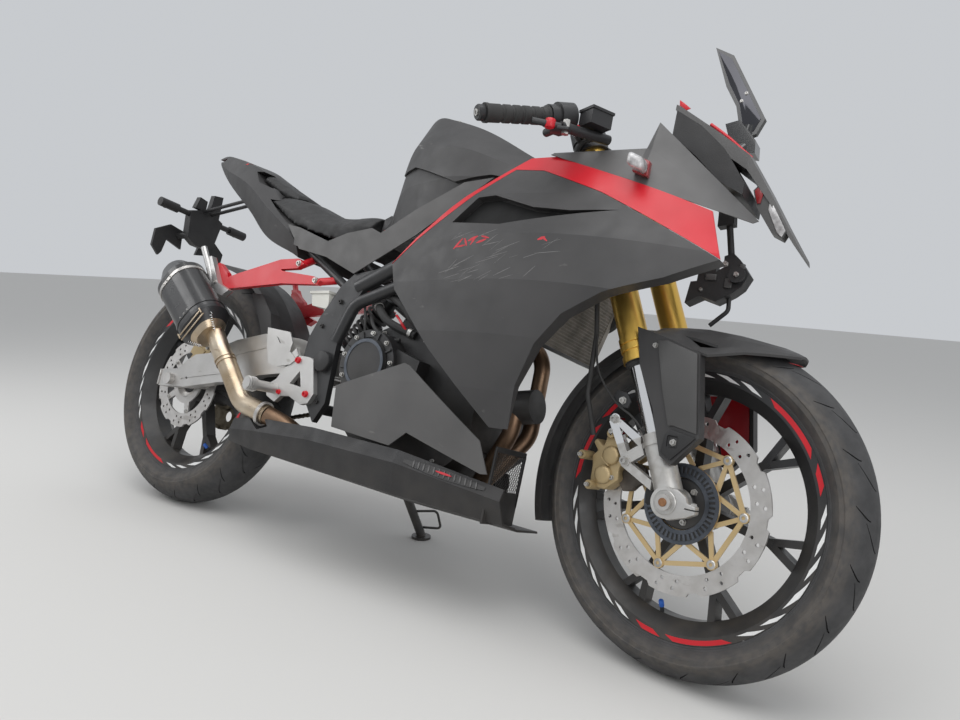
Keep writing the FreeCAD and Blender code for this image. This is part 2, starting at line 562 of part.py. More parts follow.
# Switch unit that hangs from the lamp bracket on its stay
unit_outline = [(1304.0, 649.0), (1308.0, 690.0), (1326.0, 693.0), (1364.0, 720.0), (1362.0, 741.0),
                (1377.0, 748.0), (1392.0, 735.0), (1412.0, 709.0), (1402.0, 686.0), (1388.0, 673.0),
                (1360.0, 655.0), (1330.0, 664.0)]
unit = fused([
    slab(unit_outline, -16.0, 16.0),
    slab([(1318.0, 688.0), (1318.0, 722.0), (1348.0, 726.0), (1352.0, 706.0)], -12.0, 12.0),
    disc(V(1392.0, 0, 705.0), 15.0, -26.0, 20.0),
    bent([V(1372.0, 1.0, 734.0), V(1346.0, 1.0, 846.0), V(1336.0, 1.0, 886.0)], 6.0, 30.0),
    slab([(1336.0, 800.0), (1366.0, 806.0), (1362.0, 832.0), (1332.0, 850.0)], -9.0, 12.0),
    bent([V(1378.0, 2.0, 672.0), V(1381.0, 2.0, 644.0), V(1352.0, 2.0, 614.0)], 4.0, 14.0),
])
keep("hanging_switch_unit", biggest(unit.cut(pieces["lamp_bracket"])))

# Mirror on its block, folded upward
mirror_face = [(1241.0, 1206.0), (1282.0, 1184.0), (1367.0, 1043.0), (1355.0, 1012.0), (1342.0, 1007.0),
               (1319.0, 1029.0), (1306.0, 1072.0), (1278.0, 1117.0)]
mirror_block = [(1293.0, 1033.0), (1320.0, 1040.0), (1358.0, 996.0), (1361.0, 969.0), (1344.0, 972.0),
                (1306.0, 1000.0)]
mirror = fused([slab(mirror_face, 54.0, 66.0), slab(mirror_block, 48.0, 84.0),
                bar(V(1338.0, 60.0, 1030.0), V(1334.0, 60.0, 990.0), 12.0),
                bar(V(1336.0, 56.0, 984.0), V(1318.0, 34.0, 952.0), 11.0)])
keep("mirror_left", biggest(mirror.cut(nose).cut(pieces["lamp_bracket"])))

# Right turn signal
signal = loft([[V(1220.0, -146.0, 844.0), V(1220.0, -146.0, 874.0), V(1248.0, -146.0, 862.0),
                V(1248.0, -146.0, 834.0)], [V(1226.0, -214.0, 836.0), V(1226.0, -214.0, 864.0),
                                            V(1262.0, -214.0, 848.0), V(1262.0, -214.0, 822.0)]])
keep("turn_signal_right", biggest(signal.cut(pieces["upper_cowl_right"]).cut(pieces["fairing_band_right"])))

# Engine: crankcase, cylinder and head leaning forward, sump; covers on both sides; oil filter
crankcase = slab([(618.0, 300.0), (626.0, 486.0), (700.0, 520.0), (800.0, 516.0), (880.0, 470.0),
                  (960.0, 400.0), (966.0, 300.0), (900.0, 238.0), (700.0, 232.0)], -ENGINE_HALF,
                 ENGINE_HALF)
cylinder = slab([(770.0, 500.0), (790.0, 640.0), (838.0, 668.0), (948.0, 604.0), (936.0, 520.0),
                 (880.0, 440.0)], -98.0, 98.0)
head_cover = slab([(786.0, 640.0), (800.0, 690.0), (850.0, 704.0), (944.0, 650.0), (946.0, 600.0),
                   (838.0, 660.0)], -90.0, 90.0)
oil_filter = bar(V(950.0, -30.0, 390.0), V(1056.0, -34.0, 411.0), 34.0)
engine = fused([crankcase, cylinder, head_cover, oil_filter])
FRONT_SPROCKET = V(618.0, 0, 420.0)
engine = engine.cut(disc(FRONT_SPROCKET, FRONT_SPROCKET_R + CHAIN_H + 12.0, CHAIN_Y - 12.0,
                         ENGINE_HALF + 1.0))
engine = engine.cut(slab([(500.0, 330.0), (500.0, 510.0), (640.0, 500.0), (640.0, 340.0)], CHAIN_Y - 12.0,
                         ENGINE_HALF + 1.0))
engine = engine.fuse(disc(FRONT_SPROCKET, 12.0, CHAIN_Y - 14.0, CHAIN_Y - 4.0).fuse(
    disc(FRONT_SPROCKET, FRONT_SPROCKET_R, CHAIN_Y - 4.0, CHAIN_Y + 4.0)))
CLUTCH = V(700.0, 0, 428.0)
clutch = fused([disc(CLUTCH, CLUTCH_R, -158.0, -ENGINE_HALF), disc(CLUTCH, CLUTCH_R - 22.0, -166.0, -150.0),
                slab([(764.0, 470.0), (830.0, 452.0), (822.0, 392.0), (764.0, 380.0)], -146.0, -ENGINE_HALF)])
clutch = clutch.cut(ring([(CLUTCH_R - 20.0, -159.0), (CLUTCH_R - 16.0, -159.0), (CLUTCH_R - 16.0, -155.0),
                          (CLUTCH_R - 20.0, -155.0)], CLUTCH))
rib = slab([(CLUTCH_R - 18.0, -2.0), (CLUTCH_R - 3.0, -2.0), (CLUTCH_R - 3.0, 2.0), (CLUTCH_R - 18.0, 2.0)],
           -161.0, -157.0)
rib.translate(CLUTCH)
keep("clutch_cover", fused([clutch] + around(rib, CLUTCH, 9, 8.0)))
GENERATOR = V(760.0, 0, 396.0)
generator = fused([disc(GENERATOR, 66.0, ENGINE_HALF, 142.0), disc(GENERATOR, 44.0, 140.0, 149.0)])
keep("generator_cover", generator)
keep("engine_block", engine)

# Frame: head tube, side spars, pivot plates, cross tubes and seat rails
head = bar(fork_point(LOW_YOKE_S + 33.0, 0, -FORK_OFFSET), fork_point(TOP_YOKE_S - 3.0, 0, -FORK_OFFSET),
           HEAD_R)
head_bore = bar(fork_point(LOW_YOKE_S, 0, -FORK_OFFSET), fork_point(TOP_YOKE_S + 20.0, 0, -FORK_OFFSET),
                STEM_R + SHAFT_GAP)
spar_y = -PLATE_Y - PLATE_T / 2.0
spar = bent([V(1092.0, -10.0, 852.0), V(1000.0, -112.0, 806.0), V(688.0, spar_y, 648.0),
             V(596.0, spar_y, 598.0)], SPAR_R, 60.0)
low_spar = bent([V(1100.0, -10.0, 812.0), V(960.0, -112.0, 720.0), V(706.0, spar_y, 606.0),
                 V(596.0, spar_y, 560.0), V(566.0, spar_y, 470.0)], SPAR_R - 3.0, 50.0)
plate = slab([(484.0, 420.0), (486.0, 470.0), (506.0, 520.0), (548.0, 596.0), (580.0, 626.0),
              (640.0, 640.0), (606.0, 570.0), (576.0, 506.0), (578.0, 446.0), (584.0, 330.0),
              (560.0, 284.0), (530.0, 318.0), (508.0, 372.0)], -PLATE_Y - PLATE_T, -PLATE_Y)
rail = bent([V(560.0, -108.0, 590.0), V(396.0, -96.0, 676.0), V(180.0, -62.0, 790.0),
             V(40.0, -40.0, 850.0)], 10.0, 60.0)
rail_foot = bar(V(566.0, -108.0, 584.0), V(572.0, -122.0, 592.0), 12.0)
rail_top = bent([V(620.0, -112.0, 630.0), V(560.0, -100.0, 668.0), V(330.0, -84.0, 712.0)], 9.0, 40.0)
rad_stay = slab([(920.0, 692.0), (938.0, 712.0), (1006.0, 742.0), (1112.0, 664.0), (1096.0, 646.0),
                 (1004.0, 710.0)], -131.0, -125.3)
half_frame = fused([spar, low_spar, plate, rail, rail_foot, rail_top, rad_stay])
other_half = half_frame.mirror(V(0, 0, 0), Y_AXIS)
cross = [bar(V(x, -120.0, z), V(x, 120.0, z), 12.0) for x, z in ((600.0, 612.0), (566.0, 316.0))]
cross.append(bar(V(200.0, -66.0, 780.0), V(200.0, 66.0, 780.0), 8.0))
pivot = disc(PIVOT, AXLE_R, -PLATE_Y - PLATE_T - 8.0, PLATE_Y + PLATE_T + 8.0)
cap = disc(PIVOT, 24.0, -PLATE_Y - PLATE_T - 10.0, -PLATE_Y - PLATE_T)

# The side stand turns about a slanted axis from its place under the machine to its place along the belly
stand_top = V(STAND_X, STAND_Y, STAND_Z)
leaning = pieces["rear_tyre"].copy()
leaning.rotate(V(0, 0, 0), V(1, 0, 0), -LEAN)
foot_ground = STAND_FOOT_Y * TAN_LEAN + leaning.optimalBoundingBox(False).ZMin / math.cos(math.radians(LEAN))
stand_foot = V(STAND_FOOT_X, STAND_FOOT_Y, foot_ground + 5.0)
stand_axis = (stand_foot - stand_top).cross(V(-1.0, 0.1, 0.02)).normalize()
STAND_PIN_R = 6.0
lug = bar(stand_top - stand_axis * 18.0, stand_top - stand_axis * SEAT_GAP, 19.0)
lug = lug.fuse(slab([(556.0, 316.0), (606.0, 316.0), (600.0, 226.0), (572.0, 226.0)], 108.0, 119.0))
lug = lug.cut(bar(stand_top - stand_axis * 40.0, stand_top + stand_axis, STAND_PIN_R + SHAFT_GAP))
lug = lug.cut(bar(stand_top - stand_axis * SEAT_GAP, stand_top + stand_axis * 30.0, 24.0))
frame = fused([head, half_frame, other_half, pivot, cap, lug] + cross).cut(head_bore)
frame = frame.cut(pieces["engine_block"]).cut(pieces["clutch_cover"])
keep("main_frame", biggest(frame))
pieces["lamp_bracket"] = biggest(pieces["lamp_bracket"].cut(pieces["main_frame"]))
stand_dir = (stand_foot - stand_top).normalize()
boss = stand_top + stand_axis * (STAND_R + 1.0)
foot_plate = Part.makeCylinder(24.0, 6.0, V(STAND_FOOT_X, STAND_FOOT_Y, foot_ground), V(0, -TAN_LEAN, 1.0))
wire_start = boss + stand_dir * 150.0
wire = bent([wire_start, wire_start + V(58.0, 10.0, 14.0), wire_start + V(60.0, 40.0, -28.0),
             boss + stand_dir * 196.0], 3.0, 10.0)
stand = fused([bar(boss, stand_foot, STAND_R), bar(stand_top, stand_top + stand_axis * 22.0, 17.0),
               bar(stand_top - stand_axis * 16.0, stand_top + stand_axis, STAND_PIN_R), foot_plate, wire])
keep("side_stand", stand)

# Tank: upper shell and the narrower rear cover below its seam
tank_rows = [
    (556.0, [(0, 806), (36, 804), (56, 786), (60, 756), (52, 730)]),
    (606.0, [(0, 968), (44, 960), (74, 904), (82, 826), (76, 722)]),
    (640.0, [(0, 1038), (52, 1028), (90, 952), (102, 844), (94, 722)]),
    (700.0, [(0, 1034), (68, 1022), (116, 940), (128, 846), (112, 722)]),
    (800.0, [(0, 1000), (82, 988), (138, 918), (146, 850), (126, 746)]),
    (900.0, [(0, 950), (84, 942), (136, 888), (146, 842), (126, 786)]),
    (985.0, [(0, 908), (70, 902), (110, 874), (122, 846), (116, 816)]),
]
seam = [(540.0, 700.0), (540.0, 868.0), (604.0, 886.0), (662.0, 890.0), (812.0, 838.0), (900.0, 852.0),
        (1010.0, 840.0), (1010.0, 700.0)]
tank_full = hull_loft(tank_rows)
small_rows = [(x, [(0.93 * y, z - 2.0 if k < 2 else z) for k, (y, z) in enumerate(row)]) for x,
              row in tank_rows]
tank_low = hull_loft(small_rows).common(slab(seam, -200.0, 200.0))
fuel_tank = tank_full.cut(slab(seam, -200.0, 200.0))
engine_room = [(700.0, 600.0), (700.0, 722.0), (1000.0, 800.0), (1000.0, 600.0)]
keep("fuel_tank", biggest(fuel_tank.cut(pieces["main_frame"])))
keep("tank_rear_cover", biggest(tank_low.cut(pieces["main_frame"]).cut(slab(engine_room, -100.0, 100.0))))

# Rider seat and passenger pad
seat_rows = [
    (170.0, [(0, 858), (56, 846), (92, 826), (86, 808), (40, 826)]),
    (240.0, [(0, 842), (60, 832), (110, 800), (104, 776), (50, 800)]),
    (310.0, [(0, 824), (60, 816), (118, 775), (112, 742), (50, 780)]),
    (380.0, [(0, 800), (60, 792), (118, 752), (114, 722), (50, 760)]),
    (464.0, [(0, 792), (60, 782), (112, 745), (108, 704), (50, 740)]),
    (548.0, [(0, 796), (54, 786), (84, 756), (80, 724), (40, 740)]),
]
tank_back = pieces["tank_rear_cover"].fuse(pieces["fuel_tank"])
seat = hull_loft(seat_rows)
pad_rows = [
    (88.0, [(0, 914), (50, 908), (62, 898), (58, 884)]),
    (160.0, [(0, 884), (56, 878), (68, 866), (62, 852)]),
    (238.0, [(0, 850), (50, 845), (60, 838), (54, 826)]),
]
pad = hull_loft(pad_rows, True)
rails_room = pieces["main_frame"]
keep("rider_seat", biggest(seat.cut(tank_back).cut(rails_room)))
keep("passenger_pad", biggest(pad.cut(pieces["rider_seat"]).cut(rails_room)))

# Tail cowl with a hand recess on each side
tail_rows = [
    (-180.0, [(0, 985), (12, 983), (22, 972), (14, 958)]),
    (-100.0, [(0, 978), (34, 972), (50, 930), (34, 900)]),
    (-20.0, [(0, 956), (52, 948), (74, 900), (50, 852)]),
    (100.0, [(0, 914), (66, 905), (98, 850), (72, 782)]),
    (200.0, [(0, 830), (84, 828), (112, 790), (92, 720)]),
    (300.0, [(0, 760), (96, 758), (121, 735), (104, 684)]),
    (356.0, [(0, 716), (100, 716), (123, 690), (108, 664)]),
]
tail = hull_loft(tail_rows)
hand_hole = slab([(64.0, 910.0), (104.0, 910.0), (190.0, 862.0), (160.0, 856.0), (106.0, 872.0)], -140.0,
                 -34.0)
lamp_slot = slab([(-200.0, 972.0), (-140.0, 974.0), (-148.0, 962.0), (-200.0, 960.0)], -40.0, 40.0)
for tool in (pieces["rider_seat"], pieces["passenger_pad"], rails_room, hand_hole,
             hand_hole.mirror(V(0, 0, 0), Y_AXIS), lamp_slot):
    tail = tail.cut(tool)
keep("tail_cowl", biggest(tail))

# Side covers below the seat, from the tail forward beside the tank
cover_rows = [
    (280.0, [(118, 860), (122, 720), (120, 560)]),
    (480.0, [(132, 860), (136, 720), (133, 560)]),
    (700.0, [(COVER_Y, 900), (COVER_Y + 2.0, 780), (COVER_Y, 560)]),
    (940.0, [(COVER_Y + 8.0, 960), (COVER_Y + 10.0, 820), (COVER_Y + 8.0, 560)]),
]
cover_outline = [(310.0, 742.0), (376.0, 680.0), (480.0, 662.0), (582.0, 626.0), (739.0, 718.0),
                 (850.0, 798.0), (914.0, 843.0), (840.0, 835.0), (723.0, 775.0), (637.0, 722.0),
                 (607.0, 733.0), (532.0, 720.0), (474.0, 700.0), (400.0, 722.0), (360.0, 734.0),]
cover = cut_out(skin(cover_rows, 3.0), cover_outline)
foot_tab = slab([(350.0, 706.0), (380.0, 700.0), (380.0, 684.0), (352.0, 690.0)], -128.0, -100.0)
cover = fused([cover, foot_tab])
for name in ("rider_seat", "tail_cowl", "fuel_tank", "tank_rear_cover", "main_frame", "side_fairing_right",
             "fairing_band_right"):
    cover = cover.cut(pieces[name])
cover = biggest(cover)
keep("side_covers", Part.makeCompound(list(both(cover))))

# Exhaust headers down the front and under the engine
header = []
for y in (-34.0, 40.0):
    path = [V(930.0, y, 560.0), V(1010.0, y - 6.0, 520.0), V(1018.0, y - 14.0, 350.0),
            V(940.0, -20.0, 214.0), V(700.0, -20.0, 200.0)]
    header.append(bent(path, 17.0, 60.0))
header = fused(header + [bent([V(710.0, -20.0, 200.0), V(560.0, -60.0, 206.0), V(470.0, -120.0, 262.0),
                               V(420.0, -136.0, 276.0)], 22.0, 60.0)])
keep("exhaust_header", biggest(header.cut(pieces["engine_block"]).cut(pieces["main_frame"])))

# Radiator in front of the engine with its side tanks
RAD_TILT = 14.0
RAD_W = 250.0
RAD_H = 160.0
rad = Part.makeBox(30.0, RAD_W - 30.0, RAD_H)
rad.translate(V(-15.0, -RAD_W / 2.0 + 15.0, -RAD_H / 2.0))
for y in (-RAD_W / 2.0, RAD_W / 2.0 - 16.0):
    tank_side = Part.makeBox(34.0, 16.0, RAD_H)
    tank_side.translate(V(-17.0, y, -RAD_H / 2.0))
    rad = rad.fuse(tank_side)
rad.rotate(V(0, 0, 0), Y_AXIS, RAD_TILT)
rad.translate(V(1080.0, 0, 602.0))
keep("radiator", rad.removeSplitter())

# Lower panel and belly pan, whose left front corner is broken away
lower_rows = [(x, [(y - 4.0, z) for y, z in row]) for x, row in side_rows]
lower_outline = [(566.0, 392.0), (640.0, 372.0), (836.0, 438.0), (852.0, 434.0), (1042.0, 320.0),
                 (1064.0, 264.0), (1050.0, 262.0), (866.0, 306.0), (822.0, 274.0), (640.0, 284.0),
                 (590.0, 300.0)]
lower_skin = skin(lower_rows, 3.0)
inner_front = slab([(636.0, 100.0), (636.0, 700.0), (1200.0, 700.0), (1200.0, 100.0)], -400.0, -20.0)
lower_right = cut_out(lower_skin, lower_outline).common(inner_front)
lower_right = biggest(lower_right.cut(fairing).cut(pieces["clutch_cover"]))
lower_left = biggest(lower_right.mirror(V(0, 0, 0), Y_AXIS).common(slab([(600, 200), (600, 500), (900, 500),
                                                                         (900, 200)], 20.0, 400.0)))
keep("lower_panels", Part.makeCompound([lower_right, lower_left]))
belly_rows = [
    (306.0, [(70, 192), (134, 198), (140, 226), (134, 252)]),
    (400.0, [(80, 184), (146, 192), (158, 234), (150, 266)]),
    (600.0, [(84, 178), (164, 190), (174, 246), (166, 274)]),
    (850.0, [(84, 170), (166, 184), (182, 244), (172, 270)]),
    (1096.0, [(60, 168), (140, 180), (168, 222), (160, 244)]),
]
belly_wall = 4.0
sections = []
for x, row in belly_rows:
    outer = [V(x, -y, z) for y, z in reversed(row)] + [V(x, y, z) for y, z in row]
    inner = [V(x, y - belly_wall, z + (belly_wall if k < 2 else 0.0)) for k,
             (y, z) in reversed(list(enumerate(row)))]
    inner += [V(x, belly_wall - y, z + (belly_wall if k < 2 else 0.0)) for k, (y, z) in enumerate(row)]
    sections.append(outer + inner)
belly = loft(sections).cut(disc(REAR_AXLE, REAR_TYRE_R + 12.0, -92.0, 92.0))
belly = belly.cut(disc(FRONT_AXLE, FRONT_TYRE_R + 37.0, -92.0, 92.0))
belly = belly.cut(slab([(340.0, 150.0), (700.0, 150.0), (640.0, 310.0), (340.0, 310.0)], 96.0, 210.0))
belly = belly.cut(slab([(905.0, 120.0), (905.0, 400.0), (1200.0, 400.0), (1200.0, 120.0)], 20.0, 300.0))
belly = belly.cut(slab([(452.0, 252.0), (384.0, 300.0), (372.0, 262.0), (420.0, 240.0)], -175.0, -100.0))
for name in ("side_fairing_right", "lower_panels", "exhaust_header", "engine_block"):
    belly = belly.cut(pieces[name])
keep("belly_pan", biggest(belly))

# Exhaust: mid pipe with two collars, spring bracket, end cap and flattened muffler
pipe_path = [V(420.0, -136.0, 276.0), V(340.0, -152.0, 292.0), V(282.0, -164.0, 362.0),
             V(236.0, -172.0, 410.0), V(192.0, -177.0, 462.0)]
mid = bent(pipe_path, 23.0, 60.0)
m_start = V(201.0, -184.0, 436.0)
m_dir = (V(-36.0, -190.0, 618.0) - m_start).normalize()
m_side = m_dir.cross(V(0, 1, 0)).normalize()
m_out = m_dir.cross(m_side).normalize()


def muffler_section(along, wide, thick):
    """A stadium outline across the muffler: long way in the side view, short way outward."""
    centre = m_start + m_dir * along
    flat = (wide - thick) / 2.0
    r = thick / 2.0
    a = centre + m_side * flat + m_out * r
    b = centre - m_side * flat + m_out * r
    c = centre - m_side * flat - m_out * r
    d = centre + m_side * flat - m_out * r
    return Part.Wire([Part.makeLine(a, b), Part.Arc(b, centre - m_side * (flat + r), c).toShape(),
                      Part.makeLine(c, d), Part.Arc(d, centre + m_side * (flat + r), a).toShape()])


MUFFLER_W = 130.0
MUFFLER_T = 100.0
MUFFLER_L = 196.0
cap_start = -8.0
pipe_end = V(192.0, -177.0, 462.0)
end_cap = Part.makeLoft([muffler_section(cap_start, 70.0, 60.0),
                         muffler_section(30.0, MUFFLER_W + 2.0, MUFFLER_T + 2.0)], True, True)
cap_band = Part.makeLoft([muffler_section(30.0, MUFFLER_W + 3.0, MUFFLER_T + 3.0),
                          muffler_section(40.0, MUFFLER_W + 3.0, MUFFLER_T + 3.0)], True, True)
mid = fused([mid, end_cap, cap_band] + [bar(pipe_end + m_dir * s, pipe_end + m_dir * (s + 8.0),
                                            27.0) for s in (-8.0, 6.0)])
keep("exhaust_mid_pipe", biggest(mid.cut(pieces["exhaust_header"]).cut(pieces["belly_pan"])))
can = Part.makeLoft([muffler_section(40.0, MUFFLER_W, MUFFLER_T),
                     muffler_section(MUFFLER_L, MUFFLER_W, MUFFLER_T)], True, True)
tip = Part.makeLoft([muffler_section(MUFFLER_L, MUFFLER_W, MUFFLER_T),
                     muffler_section(MUFFLER_L + 48.0, 74.0, 66.0)], True, True)
can_band = Part.makeLoft([muffler_section(MUFFLER_L - 8.0, MUFFLER_W + 3.0, MUFFLER_T + 3.0),
                          muffler_section(MUFFLER_L + 4.0, MUFFLER_W + 3.0, MUFFLER_T + 3.0)], True, True)
outlet = bar(m_start + m_dir * (MUFFLER_L + 10.0), m_start + m_dir * (MUFFLER_L + 60.0), 22.0)
keep("muffler", biggest(fused([can, tip, can_band]).cut(outlet).cut(pieces["exhaust_mid_pipe"])))

# Swingarm: curved box arms joined ahead of the tyre; axle ends with the adjusters
chain_gap = slab([(380.0, 437.0), (380.0, 452.0), (520.0, 465.0), (520.0, 410.0)], 74.0, 90.0)
right_outline = [(-48.0, 288.0), (-50.0, 332.0), (20.0, 342.0), (44.0, 366.0), (76.0, 386.0),
                 (130.0, 396.0), (176.0, 420.0), (222.0, 440.0), (320.0, 466.0), (440.0, 466.0),
                 (575.0, 446.0), (575.0, 394.0), (440.0, 382.0), (393.0, 376.0), (331.0, 364.0),
                 (267.0, 338.0), (190.0, 328.0), (60.0, 298.0)]
left_outline = [(-48.0, 288.0), (-50.0, 336.0), (60.0, 366.0), (180.0, 430.0), (300.0, 458.0),
                (440.0, 462.0), (575.0, 446.0), (575.0, 394.0), (440.0, 392.0), (300.0, 372.0),
                (180.0, 346.0), (60.0, 298.0)]
arm_right = slab(right_outline, -ARM_Y - ARM_T, -ARM_Y)
arm_left = slab(left_outline, ARM_Y + 4.0, ARM_Y + ARM_T + 2.0)
brace = slab([(390.0, 396.0), (390.0, 460.0), (500.0, 456.0), (500.0, 394.0)], -ARM_Y - 1.0, 72.0)
brace = brace.fuse(slab([(390.0, 396.0), (390.0, 456.0), (420.0, 456.0), (420.0, 396.0)], 70.0,
                        ARM_Y + 5.0).cut(chain_gap))
groove = slab([(40.0, 318.0), (190.0, 350.0), (235.0, 404.0), (333.0, 432.0), (333.0, 428.0),
               (238.0, 400.0), (193.0, 346.0), (40.0, 314.0)], -ARM_Y - ARM_T - 1.0, -ARM_Y - ARM_T + 2.0)
swingarm = fused([arm_right, arm_left, brace]).cut(groove)
swingarm = swingarm.cut(disc(REAR_AXLE, AXLE_R + SHAFT_GAP, -200.0, 200.0)).cut(disc(PIVOT,
                                                                                     AXLE_R + SHAFT_GAP,
                                                                                     -200.0, 200.0))
for y_start, y_end in ((-ARM_Y - ARM_T - 1.0, -ARM_Y - ARM_T + 16.0),
                       (ARM_Y + ARM_T - 14.0, ARM_Y + ARM_T + 3.0)):
    swingarm = swingarm.cut(disc(V(SPOOL_X, 0, SPOOL_Z), SPOOL_R, y_start, y_end))
swingarm = swingarm.cut(pieces["main_frame"]).cut(pieces["engine_block"])
keep("swingarm", biggest(swingarm))
arm_out = ARM_Y + ARM_T + 2.0 + SEAT_GAP
rear_axle = fused([disc(REAR_AXLE, AXLE_R, -AXLE_HALF, AXLE_HALF),
                   disc(REAR_AXLE, 15.0, -arm_out - 12.0, -arm_out + 2.0),
                   disc(REAR_AXLE, 15.0, arm_out, arm_out + 14.0)])
keep("rear_axle", rear_axle)

# Rear hugger over the tyre, seated on the swingarm
hugger_top = ring([(322.0, -74.0), (334.0, -66.0), (341.0, 0.0), (334.0, 66.0), (322.0, 74.0),
                   (322.0, 71.0), (331.0, 63.0), (338.0, 0.0), (331.0, -63.0), (322.0, -71.0)], REAR_AXLE,
                  74.0, 20.0)
tongue = slab([(318.0, 432.0), (400.0, 460.3), (470.0, 460.3), (470.0, 466.0), (396.0, 468.0),
               (314.0, 446.0)], -56.0, 56.0)
hugger_side = slab([(196.0, 432.0), (222.0, 444.0), (320.0, 470.0), (300.0, 520.0), (252.0, 566.0),
                    (214.0, 566.0), (236.0, 500.0)], -ARM_Y - 12.0, -70.0)
hugger = fused([hugger_top, tongue, hugger_side]).cut(disc(REAR_AXLE, REAR_TYRE_R + 9.0, -200.0, 200.0))
keep("rear_hugger", biggest(hugger.cut(pieces["swingarm"])))

# Rear brake caliper on its bracket above the right arm
rear_caliper = fused([slab([(8.0, 392.0), (30.0, 448.0), (92.0, 430.0), (86.0, 388.0), (60.0, 372.0)],
                           -ARM_Y + 2.0, -38.0), slab([(-14.0, 330.0), (14.0, 330.0), (70.0, 400.0),
                                                       (40.0, 412.0)], -ARM_Y + SEAT_GAP, -ARM_Y + 8.0)])
rear_caliper = rear_caliper.cut(disc(REAR_AXLE, REAR_DISC_R + 6.0, REAR_DISC_Y - 5.0, REAR_DISC_Y + 5.0))
rear_caliper = rear_caliper.cut(disc(REAR_AXLE, BEAD_R, REAR_DISC_Y + 12.0, 0.0))
rear_caliper = rear_caliper.cut(disc(REAR_AXLE, AXLE_R + SHAFT_GAP, -200.0, 200.0))
keep("rear_brake_caliper", biggest(rear_caliper.cut(pieces["swingarm"])))

# Drive: toothed sprocket on the wheel and the chain round both sprockets
hub_left = 60.0
sprocket = disc(REAR_AXLE, SPROCKET_R, CHAIN_Y - 3.0, CHAIN_Y + 3.0)
window = disc(REAR_AXLE + V(72.0, 0, 0), 15.0, CHAIN_Y - 5.0, CHAIN_Y + 5.0)
sprocket = sprocket.cut(Part.makeCompound(around(window, REAR_AXLE, 5)))
sprocket_hub = ring([(52.0, CHAIN_Y - 3.0), (52.0, 66.0), (40.0, hub_left + SHAFT_GAP),
                     (26.0, hub_left + SHAFT_GAP), (26.0, CHAIN_Y - 3.0)], REAR_AXLE)
sprocket = sprocket.cut(disc(REAR_AXLE, 26.0, 40.0, 100.0))
keep("rear_sprocket", fused([sprocket, sprocket_hub]))


def chain_loop(grow, y_start, y_end):
    """The belt outline round both sprockets, grown outward, as a plate."""
    big = SPROCKET_R + grow
    small = FRONT_SPROCKET_R + grow
    run = FRONT_SPROCKET - REAR_AXLE
    tilt = math.atan2(run.z, run.x)
    lean = math.acos((big - small) / run.Length)
    corners = []
    for centre, r, angle in ((REAR_AXLE, big, tilt + lean), (FRONT_SPROCKET, small, tilt + lean),
                             (FRONT_SPROCKET, small, tilt - lean), (REAR_AXLE, big, tilt - lean)):
        corners.append((centre.x + r * math.cos(angle), centre.z + r * math.sin(angle)))
    return fused([disc(REAR_AXLE, big, y_start, y_end), disc(FRONT_SPROCKET, small, y_start, y_end),
                  slab(corners, y_start, y_end)])


chain_half = 6.0
chain = chain_loop(CHAIN_H, CHAIN_Y - chain_half, CHAIN_Y + chain_half).cut(chain_loop(SEAT_GAP,
                                                                                       CHAIN_Y - 20.0,
                                                                                       CHAIN_Y + 20.0))
keep("drive_chain", chain)
chain_room = chain_loop(CHAIN_H + 3.0, CHAIN_Y - chain_half - 3.0, CHAIN_Y + chain_half + 3.0)
for name in ("swingarm", "rear_hugger"):
    pieces[name] = biggest(pieces[name].cut(chain_room))

# Footrest plates with heel guard and peg
rest_y = -PLATE_Y - PLATE_T - SHAFT_GAP
rest_outline = [(474.0, 410.0), (483.0, 424.0), (514.0, 424.0), (530.0, 420.0), (556.0, 345.0),
                (544.0, 322.0), (521.0, 316.0), (480.0, 330.0), (454.0, 326.0), (438.0, 310.0),
                (409.0, 320.0), (396.0, 342.0), (427.0, 362.0), (444.0, 390.0)]
rest_hole = [(497.0, 390.0), (512.0, 354.0), (474.0, 358.0)]
heel_outline = [(359.0, 478.0), (438.0, 474.0), (455.0, 450.0), (452.0, 430.0), (478.0, 414.0),
                (462.0, 400.0), (423.0, 391.0), (390.0, 395.0), (371.0, 435.0)]
rest = fused([
    slab(rest_outline, rest_y - 12.0, rest_y),
    slab([(444.0, 392.0), (480.0, 424.0), (468.0, 440.0), (430.0, 398.0)], rest_y - 12.0, rest_y - 4.0),
    slab(heel_outline, rest_y - 15.0, rest_y - 12.0),
    bar(V(430.0, rest_y - 6.0, 340.0), V(420.0, rest_y - 62.0, 338.0), 12.0),
    bar(V(420.0, rest_y - 60.0, 338.0), V(416.0, rest_y - 84.0, 338.0), 15.0),
])
rest = rest.cut(slab(rest_hole, rest_y - 20.0, rest_y + 1.0)).cut(slab([(397.0, 460.0), (433.0, 447.0),
                                                                        (413.0, 445.0)], -200.0, -100.0))
rest = rest.cut(pieces["main_frame"]).cut(pieces["swingarm"])
rest = biggest(rest)
rest_right, rest_left = both(rest)
keep("footrest_right", biggest(rest_right.cut(pieces["belly_pan"]).cut(pieces["exhaust_mid_pipe"])))
keep("footrest_left", biggest(rest_left.cut(pieces["belly_pan"])))

